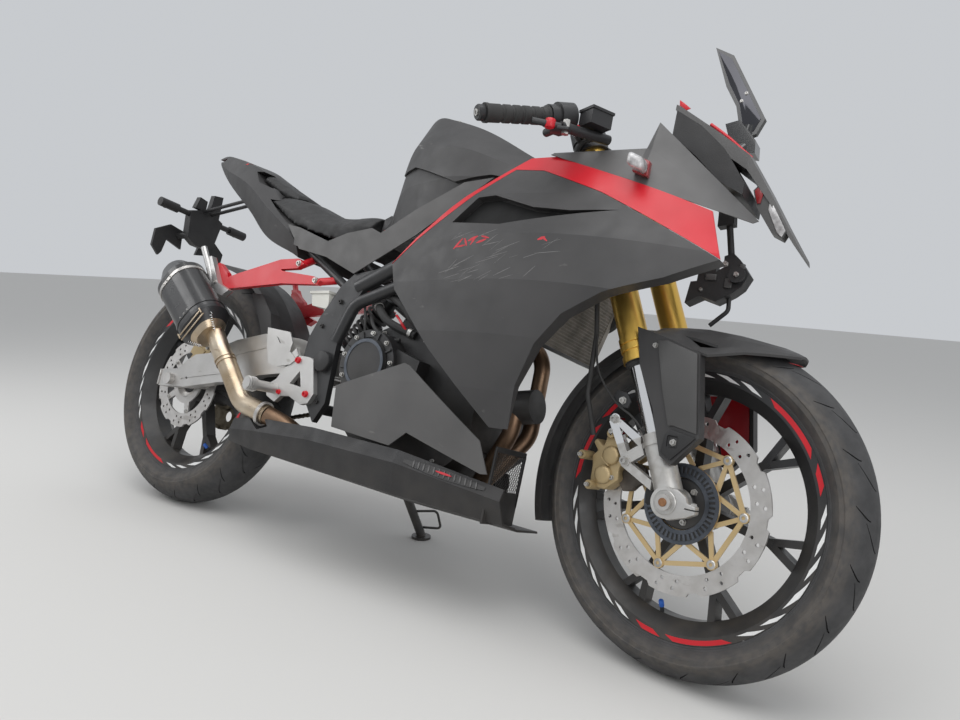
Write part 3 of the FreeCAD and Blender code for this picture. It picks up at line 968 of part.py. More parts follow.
# Passenger brackets: flat Y-shaped castings bolted to the rails, with folded pegs
bracket_outline = [(157.0, 561.0), (358.0, 588.0), (480.0, 593.0), (486.0, 603.0), (462.0, 612.0),
                   (352.0, 619.0), (346.0, 623.0), (401.0, 628.0), (421.0, 640.0), (398.0, 652.0),
                   (338.0, 647.0), (193.0, 604.0), (158.0, 592.0), (149.0, 604.0), (111.0, 628.0),
                   (91.0, 622.0), (105.0, 575.0), (128.0, 560.0)]
y_bracket = slab(bracket_outline, -142.0, -128.0)
y_bracket = fused([y_bracket, bar(V(404.0, -130.0, 640.0), V(398.0, -92.0, 664.0), 9.0),
                   bar(V(474.0, -130.0, 602.0), V(500.0, -100.0, 616.0), 9.0),
                   slab([(93.0, 640.0), (72.0, 636.0), (110.0, 556.0), (172.0, 540.0), (194.0, 556.0),
                         (146.0, 572.0)], -158.0, -142.0), bar(V(120.0, -150.0, 566.0),
                                                               V(58.0, -162.0, 660.0), 8.0),])
for name in ("main_frame", "tail_cowl", "muffler", "rear_hugger"):
    y_bracket = y_bracket.cut(pieces[name])
bracket = biggest(y_bracket)
keep("passenger_brackets", Part.makeCompound([bracket, bracket.mirror(V(0, 0, 0), Y_AXIS)]))

# Rear brake fluid reservoir beside the right plate
reservoir_box = fused([slab([(456.0, 574.0), (512.0, 579.0), (520.0, 541.0), (466.0, 546.0)], -128.0, -104.0),
                       slab([(452.0, 573.0), (514.0, 578.0), (513.0, 584.0), (451.0, 579.0)], -131.0, -101.0),
                       bar(V(500.0, -116.0, 546.0), V(512.0, -116.0, 526.0), 6.0)])
keep("rear_fluid_reservoir",
     biggest(reservoir_box.cut(pieces["main_frame"]).cut(pieces["passenger_brackets"])))

# Tail tidy: twin rods from the tail, a flat centre plate, an indicator on each side, two lugs above
# and an angled foot on each side below; it holds no plate
TIDY_X = -214.0
TIDY_Z = 793.0
TIDY_FOOT_X = -250.0
FOOT_T = 9.0


def cross_slab(outline, x_start, x_end):
    """A plate across the machine: an outline of Y and Z values, extruded from one X to another."""
    face = face_of([V(x_start, y, z) for y, z in outline])
    return face.extrude(V(x_end - x_start, 0, 0))


tidy = [cross_slab([(-56.0, 802.0), (-14.0, 818.0), (14.0, 818.0), (56.0, 802.0), (46.0, 724.0),
                    (16.0, 708.0), (-16.0, 708.0), (-46.0, 724.0)], TIDY_X - 14.0, TIDY_X + 12.0),
        cross_slab([(-44.0, 815.0), (-36.0, 850.0), (-10.0, 846.0), (-8.0, 814.0)], TIDY_X - 8.0,
                   TIDY_X + 10.0), cross_slab([(4.0, 814.0), (8.0, 872.0), (38.0, 878.0), (42.0, 808.0)],
                                              TIDY_X - 8.0, TIDY_X + 10.0)]
foot_outline = [(34.0, 744.0), (76.0, 750.0), (119.0, 722.0), (118.0, 674.0), (92.0, 652.0), (84.0, 664.0),
                (78.0, 704.0), (26.0, 690.0)]
for hand in (-1.0, 1.0):
    tidy += [
        bar(V(20.0, hand * 14.0, 856.0), V(TIDY_X + 6.0, hand * 14.0, 812.0), 5.0),
        bar(V(TIDY_X, hand * 50.0, TIDY_Z), V(TIDY_X, hand * 100.0, TIDY_Z), 8.0),
        bar(V(TIDY_X, hand * 92.0, TIDY_Z), V(TIDY_X, hand * 150.0, TIDY_Z), 13.0),
        cross_slab([(hand * y, z) for y, z in foot_outline], TIDY_FOOT_X - FOOT_T, TIDY_FOOT_X),
        bar(V(TIDY_X, hand * 38.0, 730.0), V(TIDY_FOOT_X - 1.0, hand * 44.0, 726.0), 9.0),
    ]
tidy = fused(tidy)
keep("tail_tidy", biggest(tidy.cut(pieces["tail_cowl"]).cut(pieces["main_frame"])))

# Puts the front assembly at its steering stop, leans the machine and rests it on the ground
for name in pieces:
    if name in steered:
        pieces[name].rotate(STEER_POINT, FORK_UP, STEER_REST)
    pieces[name].rotate(V(0, 0, 0), V(1, 0, 0), -LEAN)
box = FreeCAD.BoundBox()
for shape in pieces.values():
    box.add(shape.optimalBoundingBox(False))
move = V(-box.Center.x, -box.Center.y, -box.ZMin)
os.makedirs("parts", exist_ok=True)
for name, shape in pieces.items():
    shape.translate(move)
    shape.exportStep("parts/" + name + ".step")
    print(name, shape.isValid(), len(shape.Solids), round(shape.Volume / 1000.0))
print("move", tuple(round(v, 3) for v in move))
print("size", round(box.XLength), round(box.YLength), round(box.ZLength))
print("stand_axis", tuple(round(v, 6) for v in stand_axis))
print("stand_dir", tuple(round(v, 6) for v in stand_dir))
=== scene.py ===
import json
import math
import random

import bmesh
import bpy
from mathutils import Matrix, Vector


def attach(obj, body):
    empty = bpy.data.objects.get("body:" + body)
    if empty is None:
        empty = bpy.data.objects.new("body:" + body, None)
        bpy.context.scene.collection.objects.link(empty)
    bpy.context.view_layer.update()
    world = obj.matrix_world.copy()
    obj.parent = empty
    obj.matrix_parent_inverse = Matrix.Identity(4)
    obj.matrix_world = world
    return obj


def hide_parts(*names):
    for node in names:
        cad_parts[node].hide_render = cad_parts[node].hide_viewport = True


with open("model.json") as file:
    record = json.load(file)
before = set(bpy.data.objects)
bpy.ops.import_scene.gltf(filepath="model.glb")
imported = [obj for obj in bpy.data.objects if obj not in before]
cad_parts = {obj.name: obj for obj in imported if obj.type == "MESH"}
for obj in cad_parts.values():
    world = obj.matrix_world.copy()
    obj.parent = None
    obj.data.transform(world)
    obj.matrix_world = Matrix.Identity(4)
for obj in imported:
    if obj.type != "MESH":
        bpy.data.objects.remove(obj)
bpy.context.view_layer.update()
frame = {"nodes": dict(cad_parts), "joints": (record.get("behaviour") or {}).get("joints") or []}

# How the machine stands
# It leans to its left on the side stand, with the fork turned to the right. Sizes below are drawn on
# the upright machine in millimetres, and the turn of each body sets its pieces over in metres.
LEAN, STEER_REST, CASTER = math.radians(-14.94), math.radians(-7.9), math.radians(24.5)
REAR_AXLE, FRONT_AXLE = Vector((0, 0, 311)), Vector((1390, 0, 292.8))
FORK_OFFSET = 35
lean_turn = Matrix.Rotation(LEAN, 4, "X")
axle_joint = next(j for j in frame["joints"] if j["name"] == "rear_wheel_spin")
stance_move = Vector(axle_joint["pos_m"]) - lean_turn @ (REAR_AXLE / 1000)
LEANED = Matrix.Translation(stance_move) @ lean_turn @ Matrix.Diagonal((0.001, 0.001, 0.001, 1))
fork_up = Vector((-math.sin(CASTER), 0, math.cos(CASTER)))
steer_x = FRONT_AXLE.x + FRONT_AXLE.z * math.tan(CASTER) - FORK_OFFSET / math.cos(CASTER)
steer_point = Vector((steer_x, 0, 0))
STEERED = (LEANED @ Matrix.Translation(steer_point) @ Matrix.Rotation(STEER_REST, 4, fork_up)
           @ Matrix.Translation(-steer_point))
BODY_TURNS = {"chassis": LEANED, "rear_wheel": LEANED, "fork": STEERED, "front_wheel": STEERED}

# Camera, floor and light
# A pale floor and backdrop under soft, even studio light, seen from where the photograph was taken.
CAMERA_YAW, CAMERA_PITCH, CAMERA_ROLL = (math.radians(a) for a in (124.592, 5.874, 4.042))
LENS = 29.11
camera_spot = Vector((1.81693, -1.240895, 0.646156)) + stance_move
ahead = Vector((math.cos(CAMERA_YAW) * math.cos(CAMERA_PITCH), math.sin(CAMERA_YAW) * math.cos(CAMERA_PITCH),
                -math.sin(CAMERA_PITCH)))
side = Vector((math.sin(CAMERA_YAW), -math.cos(CAMERA_YAW), 0))
above = side.cross(ahead)
right = side * math.cos(CAMERA_ROLL) + above * math.sin(CAMERA_ROLL)
top = -side * math.sin(CAMERA_ROLL) + above * math.cos(CAMERA_ROLL)
camera_data = bpy.data.cameras.new("camera")
camera_data.sensor_width = 36
camera_data.lens = LENS
camera_data.clip_start = 0.02
camera = bpy.data.objects.new("camera", camera_data)
camera.matrix_world = Matrix.Translation(camera_spot) @ Matrix((right, top, -ahead)).transposed().to_4x4()
bpy.context.collection.objects.link(camera)
bpy.context.scene.camera = camera
bpy.context.scene.view_settings.view_transform = "Standard"


def deselect():
    if bpy.context.object and bpy.context.object.mode != "OBJECT":
        bpy.ops.object.mode_set(mode="OBJECT")
    bpy.ops.object.select_all(action="DESELECT")


deselect()
bpy.ops.mesh.primitive_plane_add(size=40)
floor = bpy.context.object
floor.name = "floor"
floor_paint = bpy.data.materials.new("pale_floor")
floor_paint.use_nodes = True
floor_paint.node_tree.nodes["Principled BSDF"].inputs["Base Color"].default_value = (0.62, 0.61, 0.59, 1)
floor_paint.node_tree.nodes["Principled BSDF"].inputs["Roughness"].default_value = 0.9
floor.data.materials.append(floor_paint)

world = bpy.data.worlds.new("studio")
bpy.context.scene.world = world
world.use_nodes = True
sky = world.node_tree.nodes["Background"]
sky.inputs["Color"].default_value = (0.93, 0.96, 1, 1)
sky.inputs["Strength"].default_value = 0.62
for name, spot, aim, size, power in (
        ("top_light", (0.6, -0.9, 3.4), (0.1, 0, 0.5), 3, 62),
        ("front_light", (3.4, -2.4, 1.8), (0.3, 0, 0.5), 1.8, 30),
        ("rear_light", (-2.6, -1.6, 2.2), (-0.2, 0, 0.5), 1.8, 26)):
    lamp_data = bpy.data.lights.new(name, "AREA")
    lamp_data.size = size
    lamp_data.energy = power
    lamp = bpy.data.objects.new(name, lamp_data)
    lamp.location = spot
    lamp.rotation_euler = (Vector(aim) - Vector(spot)).to_track_quat("-Z", "Y").to_euler()
    bpy.context.collection.objects.link(lamp)


# Finishes of the carried-over pieces
# Moulded bodywork is matte dark plastic with a fine grain, hand marks and scuffs; cast and machined
# pieces are bare, anodised or painted metal; all show the dust and rubbing of a machine left standing.
def new_finish(name):
    material = bpy.data.materials.new(name)
    material.use_nodes = True
    return material, material.node_tree, material.node_tree.nodes["Principled BSDF"].inputs


def noise(tree, coords, scale, detail=3, stretch=None, turn=(0, 0, 0)):
    """Noise on object coordinates, stretched along an axis where the finish is brushed."""
    texture = tree.nodes.new("ShaderNodeTexNoise")
    texture.inputs["Scale"].default_value = scale
    texture.inputs["Detail"].default_value = detail
    if stretch:
        mapping = tree.nodes.new("ShaderNodeMapping")
        mapping.inputs["Scale"].default_value = stretch
        mapping.inputs["Rotation"].default_value = turn
        tree.links.new(coords, mapping.inputs["Vector"])
        coords = mapping.outputs["Vector"]
    tree.links.new(coords, texture.inputs["Vector"])
    return texture.outputs["Fac"]


def spread(tree, source, low, high, to_low, to_high):
    """A value moved from one range to another."""
    node = tree.nodes.new("ShaderNodeMapRange")
    for key, value in (("From Min", low), ("From Max", high), ("To Min", to_low), ("To Max", to_high)):
        node.inputs[key].default_value = value
    tree.links.new(source, node.inputs["Value"])
    return node.outputs["Result"]


def fed(tree, socket, source):
    """Sets a socket to a number or a colour, or links another socket to it."""
    if hasattr(source, "is_linked"):
        tree.links.new(source, socket)
    else:
        socket.default_value = (*source, 1) if isinstance(source, tuple) else source


def blend(tree, amount, first, second):
    """A mix of two colours, each a colour or a socket."""
    node = tree.nodes.new("ShaderNodeMix")
    node.data_type = "RGBA"
    for key, source in (("Factor", amount), ("A", first), ("B", second)):
        fed(tree, node.inputs[key], source)
    return node.outputs["Result"]


def times(tree, first, second):
    node = tree.nodes.new("ShaderNodeMath")
    node.operation = "MULTIPLY"
    tree.links.new(first, node.inputs[0])
    tree.links.new(second, node.inputs[1])
    return node.outputs["Value"]


def grained(tree, height, strength, distance):
    """Fine relief on the whole finish."""
    bump = tree.nodes.new("ShaderNodeBump")
    fed(tree, bump.inputs["Strength"], strength)
    bump.inputs["Distance"].default_value = distance
    tree.links.new(height, bump.inputs["Height"])
    tree.links.new(bump.outputs["Normal"], tree.nodes["Principled BSDF"].inputs["Normal"])


def surface(name, dark, light, patch=9, rough=(0.4, 0.6), grain=900, depth=0.1, metal=0, coat=0,
            scuffs=None, scuff_share=0.62, soil=None, soil_top=0.35, soil_share=0.6):
    """Colour and roughness that vary in patches, fine grain, scuffs and low-lying dust."""
    material, tree, shader = new_finish(name)
    coords = tree.nodes.new("ShaderNodeTexCoord").outputs["Object"]
    colour = blend(tree, spread(tree, noise(tree, coords, patch, 5), 0.3, 0.7, 0, 1), dark, light)
    if scuffs:
        marks = noise(tree, coords, 22, 8, (1, 0.4, 2.6), (0.3, 0.5, 0.2))
        colour = blend(tree, spread(tree, marks, scuff_share, scuff_share + 0.06, 0, 0.55), colour, scuffs)
    if soil:
        height = tree.nodes.new("ShaderNodeSeparateXYZ")
        tree.links.new(coords, height.inputs["Vector"])
        low = spread(tree, height.outputs["Z"], 0, soil_top, soil_share, 0)
        flecks = spread(tree, noise(tree, coords, 30, 6), 0.35, 0.65, 0.3, 1)
        colour = blend(tree, times(tree, low, flecks), colour, soil)
    tree.links.new(colour, shader["Base Color"])
    tree.links.new(spread(tree, noise(tree, coords, patch * 3, 4), 0.3, 0.7, *rough), shader["Roughness"])
    shader["Metallic"].default_value = metal
    shader["Coat Weight"].default_value = coat
    grained(tree, noise(tree, coords, grain, 2), depth, 0.001)
    return material


DUST = (0.20, 0.165, 0.125)
GREY_SCUFF = (0.12, 0.115, 0.11)
body_plastic = surface("matte_body_plastic", (0.034, 0.033, 0.033), (0.048, 0.046, 0.046), rough=(0.42, 0.58),
                       depth=0.12, scuffs=GREY_SCUFF, scuff_share=0.70, soil=DUST, soil_top=0.28, soil_share=0.25)
cowl_plastic = surface("grey_cowl_plastic", (0.082, 0.08, 0.079), (0.108, 0.105, 0.103), rough=(0.35, 0.5),
                       depth=0.08, scuffs=(0.22, 0.21, 0.2), scuff_share=0.7)
cover_plastic = surface("side_cover_plastic", (0.062, 0.06, 0.059), (0.082, 0.079, 0.077), rough=(0.4, 0.55))
bare_plastic = surface("bare_black_plastic", (0.013, 0.013, 0.014), (0.024, 0.023, 0.023), rough=(0.45, 0.65),
                       grain=600, depth=0.35, soil=DUST, soil_top=0.3, soil_share=0.3)
red_plastic = surface("red_plastic", (0.50, 0.004, 0.012), (0.60, 0.008, 0.020), rough=(0.34, 0.48), depth=0.05,
                      coat=0.05, scuffs=(0.45, 0.02, 0.03), scuff_share=0.72)
black_metal = surface("satin_black_metal", (0.016, 0.016, 0.017), (0.030, 0.030, 0.031), rough=(0.3, 0.5),
                      depth=0.15, scuffs=GREY_SCUFF, scuff_share=0.72, soil=DUST, soil_top=0.4, soil_share=0.22)
engine_paint = surface("engine_black_paint", (0.012, 0.012, 0.013), (0.028, 0.027, 0.027), rough=(0.38, 0.6),
                       grain=400, depth=0.3, soil=DUST, soil_top=0.5, soil_share=0.3)
cast_silver = surface("cast_silver", (0.46, 0.45, 0.435), (0.60, 0.59, 0.575), rough=(0.32, 0.5), grain=500,
                      depth=0.3, metal=0.85, scuffs=(0.3, 0.28, 0.25), scuff_share=0.66, soil=DUST, soil_top=0.4,
                      soil_share=0.2)
ground_steel = surface("ground_steel", (0.50, 0.48, 0.455), (0.62, 0.60, 0.58), patch=40, rough=(0.28, 0.45),
                       grain=700, depth=0.15, metal=0.9, scuffs=(0.36, 0.33, 0.3), scuff_share=0.6)
chrome = surface("polished_chrome", (0.80, 0.80, 0.80), (0.88, 0.88, 0.88), rough=(0.06, 0.14), depth=0.02,
                 metal=1)
fork_gold = surface("fork_gold", (0.80, 0.50, 0.10), (0.86, 0.57, 0.15), patch=5, rough=(0.3, 0.42),
                    grain=1200, depth=0.05, metal=0.95)
disc_gold = surface("disc_gold", (0.60, 0.44, 0.22), (0.68, 0.51, 0.28), rough=(0.3, 0.42), metal=0.7)
caliper_gold = surface("caliper_gold", (0.36, 0.27, 0.14), (0.47, 0.36, 0.20), rough=(0.38, 0.5), depth=0.25,
                       metal=0.5, scuffs=(0.22, 0.17, 0.1), scuff_share=0.66)
warm_steel = surface("heat_tinted_steel", (0.42, 0.32, 0.21), (0.62, 0.54, 0.43), patch=14, rough=(0.25, 0.42),
                     depth=0.12, metal=0.95, scuffs=(0.28, 0.2, 0.13), scuff_share=0.64)
# Painted shade: the header pipes' heat-tinted copper colour is darkened well below the mid pipe's to paint the
# shadow they lie in.
painted_shade_copper_steel = surface("copper_header_steel_painted_shade", (0.16, 0.095, 0.06), (0.30, 0.2, 0.13), patch=12,
                       rough=(0.35, 0.5), depth=0.2, metal=0.9, soil=DUST, soil_top=0.4, soil_share=0.3)
can_black = surface("muffler_black", (0.018, 0.018, 0.019), (0.032, 0.031, 0.031), rough=(0.25, 0.4), depth=0.08,
                    coat=0.3)
core_brown = surface("radiator_core", (0.17, 0.155, 0.135), (0.30, 0.275, 0.24), patch=30, rough=(0.5, 0.7),
                     depth=0.4, metal=0.4)
chain_steel = surface("oily_chain_steel", (0.09, 0.075, 0.05), (0.22, 0.19, 0.14), patch=60, rough=(0.35, 0.6),
                      depth=0.3, metal=0.8)
rubber = surface("matte_rubber", (0.022, 0.022, 0.022), (0.034, 0.033, 0.032), rough=(0.6, 0.8), depth=0.3)
dark_lens = surface("smoked_lens", (0.012, 0.012, 0.013), (0.02, 0.02, 0.02), rough=(0.08, 0.16), depth=0.03,
                    coat=0.6)
bracket_red = surface("bracket_red_paint", (0.50, 0.005, 0.014), (0.60, 0.01, 0.02), rough=(0.3, 0.44),
                      coat=0.15, scuffs=(0.32, 0.03, 0.03), scuff_share=0.7)
clear_lens = surface("clear_lens", (0.72, 0.73, 0.74), (0.82, 0.82, 0.83), rough=(0.08, 0.16), depth=0.05,
                     coat=0.6)
tank_plastic = surface("fluid_tank_plastic", (0.52, 0.51, 0.46), (0.62, 0.61, 0.56), rough=(0.3, 0.45),
                       depth=0.05)
guard_paint = surface("guard_plastic", (0.055, 0.054, 0.053), (0.075, 0.073, 0.072), rough=(0.35, 0.5))
for finish, names in (
        (body_plastic, "side_fairing_right fuel_tank tank_rear_cover tail_cowl front_fender rear_hugger"),
        (cowl_plastic, "upper_cowl_right nose_cowl lower_panels"),
        (cover_plastic, "side_covers"),
        (bare_plastic, "belly_pan lamp_bracket hanging_switch_unit tail_tidy"),
        (red_plastic, "fairing_band_right"),
        (black_metal, "main_frame steering_yokes handlebar_right handlebar_left side_stand front_wheel"
                      " rear_wheel front_brake_cylinder"),
        (engine_paint, "engine_block clutch_cover generator_cover"),
        (cast_silver, "swingarm footrest_right footrest_left"),
        (ground_steel, "front_brake_disc rear_brake_disc front_axle rear_axle"),
        (fork_gold, "fork_tube_right fork_tube_left"),
        (disc_gold, "front_disc_carrier"),
        (caliper_gold, "front_brake_caliper rear_brake_caliper"),
        (warm_steel, "exhaust_mid_pipe"),
        (painted_shade_copper_steel, "exhaust_header"),
        (can_black, "muffler"),
        (core_brown, "radiator"),
        (chain_steel, "drive_chain rear_sprocket"),
        (rubber, "front_tyre rear_tyre grip_right grip_left front_brake_hose rider_seat passenger_pad"),
        (chrome, "fork_leg_right fork_leg_left"),
        (dark_lens, "mirror_left"),
        (bracket_red, "passenger_brackets"),
        (clear_lens, "turn_signal_right"),
        (guard_paint, "position_lamp"),
        (tank_plastic, "rear_fluid_reservoir")):
    for name in names.split():
        for place in frame["nodes"][name].material_slots:
            place.material = finish


# Tyres
# Road tyres of moulded rubber seated between the rim flanges: a rounded crown with short curved
# tread cuts, a ribbed side wall, and brown road dust left on the shoulders.
def only(piece):
    """Selects one piece, as the active one."""
    deselect()
    piece.select_set(True)
    bpy.context.view_layer.objects.active = piece
    return piece


def edit_all(piece):
    """Opens a piece in edit mode with all of it selected."""
    only(piece)
    bpy.ops.object.mode_set(mode="EDIT")
    bpy.ops.mesh.select_all(action="SELECT")


def close_outward():
    """Turns all faces outward and leaves edit mode."""
    bpy.ops.mesh.select_all(action="SELECT")
    bpy.ops.mesh.normals_make_consistent(inside=False)
    bpy.ops.object.mode_set(mode="OBJECT")


def shaped(piece, kind, **settings):
    """A piece with one modifier applied."""
    only(piece)
    modifier = piece.modifiers.new("step", kind)
    for key, value in settings.items():
        setattr(modifier, key, value)
    bpy.ops.object.modifier_apply(modifier="step")
    return piece


def cut(piece, tool):
    """A piece with a tool's shape taken away."""
    shaped(piece, "BOOLEAN", object=tool, solver="EXACT")
    bpy.data.objects.remove(tool)
    return piece


def sheet(columns, rows, place, thickness, closed=False):
    """A film or strap: a grid set by a function of its two shares, joined to a ring if closed."""
    deselect()
    bpy.ops.mesh.primitive_grid_add(x_subdivisions=columns, y_subdivisions=rows, size=2)
    piece = bpy.context.object
    for vertex in piece.data.vertices:
        vertex.co = place((vertex.co.x + 1) / 2, (vertex.co.y + 1) / 2)
    if closed:
        edit_all(piece)
        bpy.ops.mesh.remove_doubles(threshold=0.01)
    shaped(piece, "SOLIDIFY", thickness=thickness, offset=0)
    edit_all(piece)
    close_outward()
    return piece


def settle(piece, name, body, finish, stands_for=(), smooth=35, turn=None):
    """Names a finished piece, sets it over with the machine, gives it its finish and its body."""
    only(piece)
    bpy.ops.object.convert(target="MESH")
    piece = bpy.context.object
    bpy.ops.object.transform_apply(location=True, rotation=True, scale=True)
    piece.name = name
    piece.data.transform(turn or BODY_TURNS[body])
    piece.data.materials.clear()
    piece.data.materials.append(finish)
    if smooth:
        bpy.ops.object.shade_smooth_by_angle(angle=math.radians(smooth))
    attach(piece, body)
    if stands_for:
        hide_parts(*stands_for)
    return piece


def joined(parts):
    """One object from several, the first keeping its name."""
    deselect()
    for part in parts:
        part.select_set(True)
    bpy.context.view_layer.objects.active = parts[0]
    if len(parts) > 1:
        bpy.ops.object.join()
    return bpy.context.object


def copies(piece, turns):
    """The piece copied with its own mesh for each matrix, and joined."""
    made = []
    for turn in turns:
        copy = piece.copy()
        copy.data = piece.data.copy()
        copy.data.transform(turn)
        bpy.context.collection.objects.link(copy)
        made.append(copy)
    bpy.data.objects.remove(piece)
    return joined(made)


def about_y(centre, angle):
    """A turn in degrees about a cross axle."""
    return Matrix.Translation(centre) @ Matrix.Rotation(math.radians(angle), 4, "Y") @ Matrix.Translation(-centre)


def turned(profile, centre, steps):
    """A closed outline of (radius, side) corners spun once about a cross axle."""
    deselect()
    bpy.ops.mesh.primitive_circle_add(vertices=len(profile), radius=1)
    piece = bpy.context.object
    for vertex, (radius, side) in zip(piece.data.vertices, profile):
        vertex.co = (centre.x + radius, centre.y + side, centre.z)
    edit_all(piece)
    bpy.ops.mesh.spin(steps=steps, angle=math.tau, center=centre, axis=(0, 1, 0))
    bpy.ops.mesh.remove_doubles(threshold=0.001)
    bpy.ops.mesh.delete_loose()
    close_outward()
    return piece


def seen_from(tree, stand):
    """Object coordinates measured in metres from a place on the machine, whole and in parts."""
    mapping = tree.nodes.new("ShaderNodeMapping")
    mapping.vector_type = "TEXTURE"
    mapping.inputs["Location"].default_value = stand.translation
    mapping.inputs["Rotation"].default_value = stand.to_quaternion().to_euler()
    tree.links.new(tree.nodes.new("ShaderNodeTexCoord").outputs["Object"], mapping.inputs["Vector"])
    parts = tree.nodes.new("ShaderNodeSeparateXYZ")
    tree.links.new(mapping.outputs["Vector"], parts.inputs["Vector"])
    return mapping.outputs["Vector"], parts.outputs


def tyre_rubber(name, stand, half_width):
    material, tree, shader = new_finish(name)
    coords, parts = seen_from(tree, stand)
    base = blend(tree, spread(tree, noise(tree, coords, 25, 5), 0.35, 0.65, 0, 1), (0.036, 0.036, 0.037),
                 (0.054, 0.053, 0.054))
    offset = tree.nodes.new("ShaderNodeMath")
    offset.operation = "ABSOLUTE"
    tree.links.new(parts["Y"], offset.inputs[0])
    shoulder = spread(tree, offset.outputs["Value"], half_width * 0.72, half_width * 1.02, 0, 0.42)
    patches = spread(tree, noise(tree, coords, 60, 6, (1, 3, 1)), 0.35, 0.6, 0.25, 1)
    tree.links.new(blend(tree, times(tree, shoulder, patches), base, (0.15, 0.125, 0.10)), shader["Base Color"])
    tree.links.new(spread(tree, noise(tree, coords, 80, 4), 0.3, 0.7, 0.62, 0.82), shader["Roughness"])
    grained(tree, noise(tree, coords, 500, 3), 0.25, 0.0008)
    return material


TREAD_DEPTH, CROWN_STEPS, TREAD_REPEATS = 3.2, 9, 20
FULL_TREAD_HALF = 55
tread_cuts = (
    # start side, end side, start angle, sweep, width
    (6, 34, 0, 8.5, 4.6),
    (26, 47, 9, 4.5, 3.6),
)


def dressed_tyre(cad_name, centre, outer, width, drop, heel, body):
    """A tyre with its crown's drop at the shoulders, its heel on the rim, and its cut tread."""
    half = width / 2
    crown_r = (half * half + drop * drop) / (2 * drop)
    reach = math.asin(half / crown_r)
    crown = []
    for k in range(-CROWN_STEPS, CROWN_STEPS + 1):
        a = reach * k / CROWN_STEPS
        crown.append((outer - crown_r + crown_r * math.cos(a), crown_r * math.sin(a)))
    edge = outer - drop
    wall = [(edge - 2.5, half + 0.4), (edge - 4, half - 0.8), (edge - 11, half - 1.2), (238.5, heel + 6),
            (237, heel + 4), (234.5, heel + 3.4), (233.5, heel + 1.6), (230.6, heel + 0.6)]
    inside = [(230.6, heel - 8), (edge - 4, half - 9), (outer - 10, 0), (edge - 4, 9 - half),
              (230.6, 8 - heel)]
    piece = turned([(r, -y) for r, y in reversed(wall)] + crown + wall + inside, centre, 120)
    cutters = []
    for start, end, at, sweep, wide in tread_cuts:
        for hand in (-1, 1):
            def groove(along, across):
                y = (start + (end - start) * along) * half / FULL_TREAD_HALF
                taper = 0.35 + 0.65 * math.sin(math.pi * min(0.92, max(0.08, along)))
                r = outer - crown_r + math.sqrt(crown_r ** 2 - y * y)
                bend = math.radians(at + hand * 2 + sweep * along ** 1.7) + (across - 0.5) * wide * taper / r
                return centre.x + r * math.cos(bend), hand * y, centre.z + r * math.sin(bend)

            turns = [about_y(centre, 360 / TREAD_REPEATS * k) for k in range(TREAD_REPEATS)]
            cutters.append(copies(sheet(8, 1, groove, TREAD_DEPTH * 2), turns))
    cut(piece, joined(cutters))
    finish = tyre_rubber(cad_name + "_rubber", BODY_TURNS[body] @ Matrix.Translation(centre), half / 1000)
    settle(piece, cad_name + "_tread", body, finish, [cad_name], 28)


dressed_tyre("front_tyre", FRONT_AXLE, 293, 110, 31, 38, "front_wheel")
dressed_tyre("rear_tyre", REAR_AXLE, 314, 140, 46, 51, "rear_wheel")

# Rim tape
# Printed tape lies on both flanges of each rim: red arcs in three groups with slanting white slashes
# between them. It is thin film, drawn once for a third of the rim and repeated.
white_tape = surface("white_rim_tape", (0.72, 0.72, 0.71), (0.80, 0.80, 0.79), rough=(0.25, 0.4), depth=0.05)
red_tape = surface("red_rim_tape", (0.50, 0.006, 0.014), (0.60, 0.01, 0.02), rough=(0.3, 0.45), depth=0.05)
TAPE_IN, TAPE_OUT, TAPE_T = 220.5, 228.5, 0.5
tape_arcs = (
    # start angle behind the group's first end, length and slant in degrees, white or red
    (4, 26, -4, "red"), (36, 9, -4, "red"),
    (54, 4, -6, "white"), (64, 5, -7, "white"), (74.5, 5, -7, "white"), (86, 8, -8, "white"),
    (101, 5, -7, "white"), (112, 5, -7, "white"),
)
for wheel, centre, flange_y, start in (
        ("front_wheel", FRONT_AXLE, 38.1, 60), ("rear_wheel", REAR_AXLE, 51.1, -98)):
    for kind, finish in (("white", white_tape), ("red", red_tape)):
        strips = []
        for at, length, slant, colour in tape_arcs:
            if colour != kind:
                continue
            for hand in (-1, 1):
                def arc(along, across):
                    a = math.radians(start - at - length * along - slant * across)
                    r = TAPE_IN + (TAPE_OUT - TAPE_IN) * across
                    return centre.x + r * math.cos(a), hand * flange_y, centre.z + r * math.sin(a)

                thirds = [about_y(centre, 120 * k) for k in range(3)]
                strips.append(copies(sheet(max(2, int(length)), 8, arc, TAPE_T), thirds))
        settle(joined(strips), wheel + "_" + kind + "_tape", wheel, finish, smooth=0)

# Fasteners of the fork, caliper and fender
# Zinc-plated hexagon and socket-head bolts hold the cast pieces together; each flange is turned to
# the face that it sits on. Their heads are dulled and a little rusty.
bolt_steel = surface("bolt_steel", (0.40, 0.39, 0.37), (0.60, 0.59, 0.57), patch=60, rough=(0.3, 0.5), metal=0.9,
                     scuffs=(0.22, 0.13, 0.07), scuff_share=0.66)


def pick(piece, wanted):
    """Selects, in edit mode, only the faces that pass a test."""
    bpy.ops.object.mode_set(mode="EDIT")
    bpy.ops.mesh.select_mode(type="FACE")
    mesh = bmesh.from_edit_mesh(piece.data)
    for face in mesh.faces:
        face.select_set(bool(wanted(face)))
    bmesh.update_edit_mesh(piece.data)


